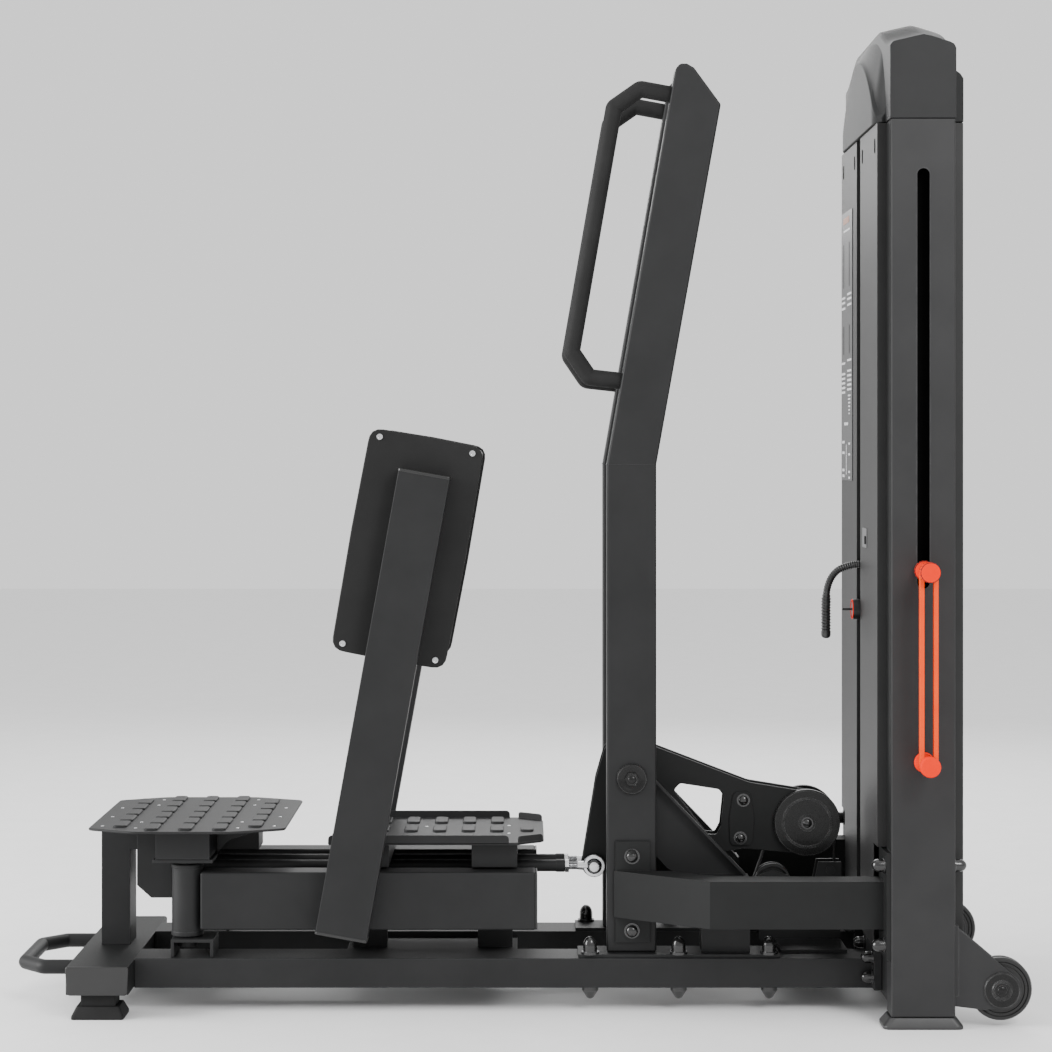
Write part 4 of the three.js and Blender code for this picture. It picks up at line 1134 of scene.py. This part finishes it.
def puff(obj, keep_from):
    """Blows the cushion up with a cloth simulation; what lies past keep_from stays on the board."""
    rest = [v.co.copy() for v in obj.data.vertices]
    group = obj.vertex_groups.new(name="held")
    held = [v.index for v in obj.data.vertices if v.co.y > keep_from * MM]
    group.add(held, 1.0, "REPLACE")
    cloth = obj.modifiers.new("cloth", "CLOTH")
    cloth.settings.use_pressure = True
    cloth.settings.uniform_pressure_force = 4
    cloth.settings.effector_weights.gravity = 0
    cloth.settings.vertex_group_mass = "held"
    cloth.settings.quality = 4
    cloth.point_cache.frame_start, cloth.point_cache.frame_end = 1, CLOTH_STEPS
    for step in range(1, CLOTH_STEPS + 1):
        bpy.context.scene.frame_set(step)
    graph = bpy.context.evaluated_depsgraph_get()
    swollen = [v.co.copy() for v in obj.evaluated_get(graph).data.vertices]
    obj.modifiers.remove(cloth)
    obj.vertex_groups.clear()
    bpy.context.scene.frame_set(1)
    for vert, was, now in zip(obj.data.vertices, rest, swollen):
        shift = now - was
        if shift.length > CUSHION_SWELL * MM:
            shift *= CUSHION_SWELL * MM / shift.length
        vert.co = was + shift
        vert.co.y = min(vert.co.y, CUSHION_BACK * MM)


def make_cushions():
    core = prism("y", rounded_rect(0, 0, 216, 428, 20, 8), 114, 155.4, 5, (), 2)
    remesh = core.modifiers.new("remesh", "REMESH")
    remesh.mode = "VOXEL"
    remesh.voxel_size = 5 * MM
    cushion = join([core])
    cushion.data.attributes.remove(cushion.data.attributes["sharp_edge"])
    puff(cushion, 150)
    for face in cushion.data.polygons:
        face.use_smooth = True
    subdivide = cushion.modifiers.new("smooth", "SUBSURF")
    subdivide.levels = subdivide.render_levels = 1
    cushion = join([cushion])
    tree = BVHTree.FromPolygons([v.co for v in cushion.data.vertices],
                                [p.vertices for p in cushion.data.polygons])
    path = []
    for x, z in rounded_rect(0, 0, 196, 408, 22, 10):
        hit = tree.ray_cast(Vector((x * MM, 0, z * MM)), Vector((0, 1, 0)))[0]
        path.append((x, hit.y / MM, z))
    seam = sweep(resampled(path, 160), 1.5, 10, closed=True)
    pair(leaned(cushion, PAD_AT), "pad_cover", "vinyl", "{}_arm", "pad_cushion")
    pair(leaned(join([seam]), PAD_AT), "pad_seam", "vinyl", "{}_arm")


make_cushions()


# ---------- cable ----------
def make_cable():
    lever_x, lever_z, base_x, base_z = 582, 342, 516, 220    # the pulleys' axes
    tower_x, tower_z, top_z = 801, 221, 1752
    upper, lower, wrap = 58.2, 37.2, 38.2                    # the cable's radius on each
    thick, sides = 3, 12
    dx, dz = base_x - lever_x, base_z - lever_z
    leave = math.degrees(math.atan2(dz, dx) - math.acos((upper - lower) / math.hypot(dx, dz))) + 360
    turn = math.radians(leave)
    off = (lever_x + upper * math.cos(turn), 0, lever_z + upper * math.sin(turn))
    on = (base_x + lower * math.cos(turn), 0, base_z + lower * math.sin(turn))

    def bend(x, z, r, start, end):
        return [(u, 0, v) for u, v in arc(x, z, r, start, end, 24)]

    over = sweep(bend(lever_x, lever_z, upper, 0, leave), thick, sides)
    dress(over, "cable_over_lever", "sleeve", "lever")
    x = lever_x + upper
    run = [(x, 0, z) for z in (256.5, 280, 310, lever_z)]
    stretch(sweep(run, thick, sides), "cable_anchor_run", "sleeve", ("frame", "lever"),
            (x, 0, 258), (x, 0, 338))
    middle = [tuple(Vector(off).lerp(Vector(on), k / 6)) for k in range(7)]
    stretch(sweep(middle, thick, sides), "cable_lever_run", "sleeve", ("lever", "frame"), off, on)
    path = bend(base_x, base_z, lower, leave, 270)
    path += bend(tower_x, tower_z, wrap, 270, 360)
    path += bend(tower_x, top_z, wrap, 0, 180)
    x, z = tower_x - wrap, 1700
    path.append((x, 0, z))
    dress(sweep(path, thick, sides), "cable_tower", "sleeve", node="cable")
    drop = [(x, 0, z - 80 * k) for k in range(11)]
    stretch(sweep(drop, thick, sides), "cable_drop", "sleeve", ("frame", "stack"), (x, 0, 1690),
            (x, 0, 930))


make_cable()


# ---------- panels ----------
def make_panel_details():
    x0 = span("far_front_panel")[0]
    # Dark pieces flush with the panel: painted shade inside its slots.
    slots = [prism("x", slot_outline(y, 1648, 1676, 5), x0 - 0.6, x0 + 1, 0) for y in (58, 232)]
    pair(slots, "panel_slots", "dark")
    dress([prism("x", rounded_rect(172, 1297, 168, 556, 8), x0 - 1.4, x0 + 0.5, 0.4)], "placard_plate",
          "placard")
    bars = []

    def bar(y, z, width, height):
        bars.append(prism("x", rounded_rect(y, z, width, height, 1), x0 - 1.8, x0 - 1.2, 0))

    left, right = 222, 130               # the placard's two columns of marks
    bar(172, 1536, 96, 4)
    for z in (1398, 1388, 1376, 1262, *(1240 - 9.6 * k for k in range(5))):
        bar(left, z, 56, 4.4)
        bar(right, z + 5, 62, 4.4)
    for k in range(6):
        bar(right, 1194 - 7.4 * k, 40 - 5 * k, 3.4)
    bar(178, 1136, 60, 6)
    bar(176, 1062, 7, 62)
    for z in (1098, 1076, 1040, 1028):
        bar(left, z, 36, 5.5)
        bar(right, z - 3, 24, 4.5)
    figures = [prism("x", rounded_rect(y, z, 16, height, 8), x0 - 1.7, x0 - 1.2, 0)
               for y in (left, right) for z, height in ((1464, 92), (1310, 60))]
    dress(figures, "placard_figures", "sheet")
    dress(bars, "placard_marks", "print")
    mark = prism("x", rounded_rect(178, 1557, 90, 13, 2), x0 - 1.9, x0 - 1.2, 0)
    dress([mark], "placard_mark", "mark")
    tag = prism("x", rounded_rect(-94, 910, 60, 38, 4), x0 - 1.2, x0 + 0.5, 0.3)
    dress([tag], "panel_tag", "tag")
    # A dark piece on the tag: painted shade inside its slit.
    slit = prism("x", rounded_rect(-108, 906, 22, 16, 2), x0 - 1.8, x0 - 1.1, 0)
    dress([slit], "panel_tag_slit", "dark")


make_panel_details()
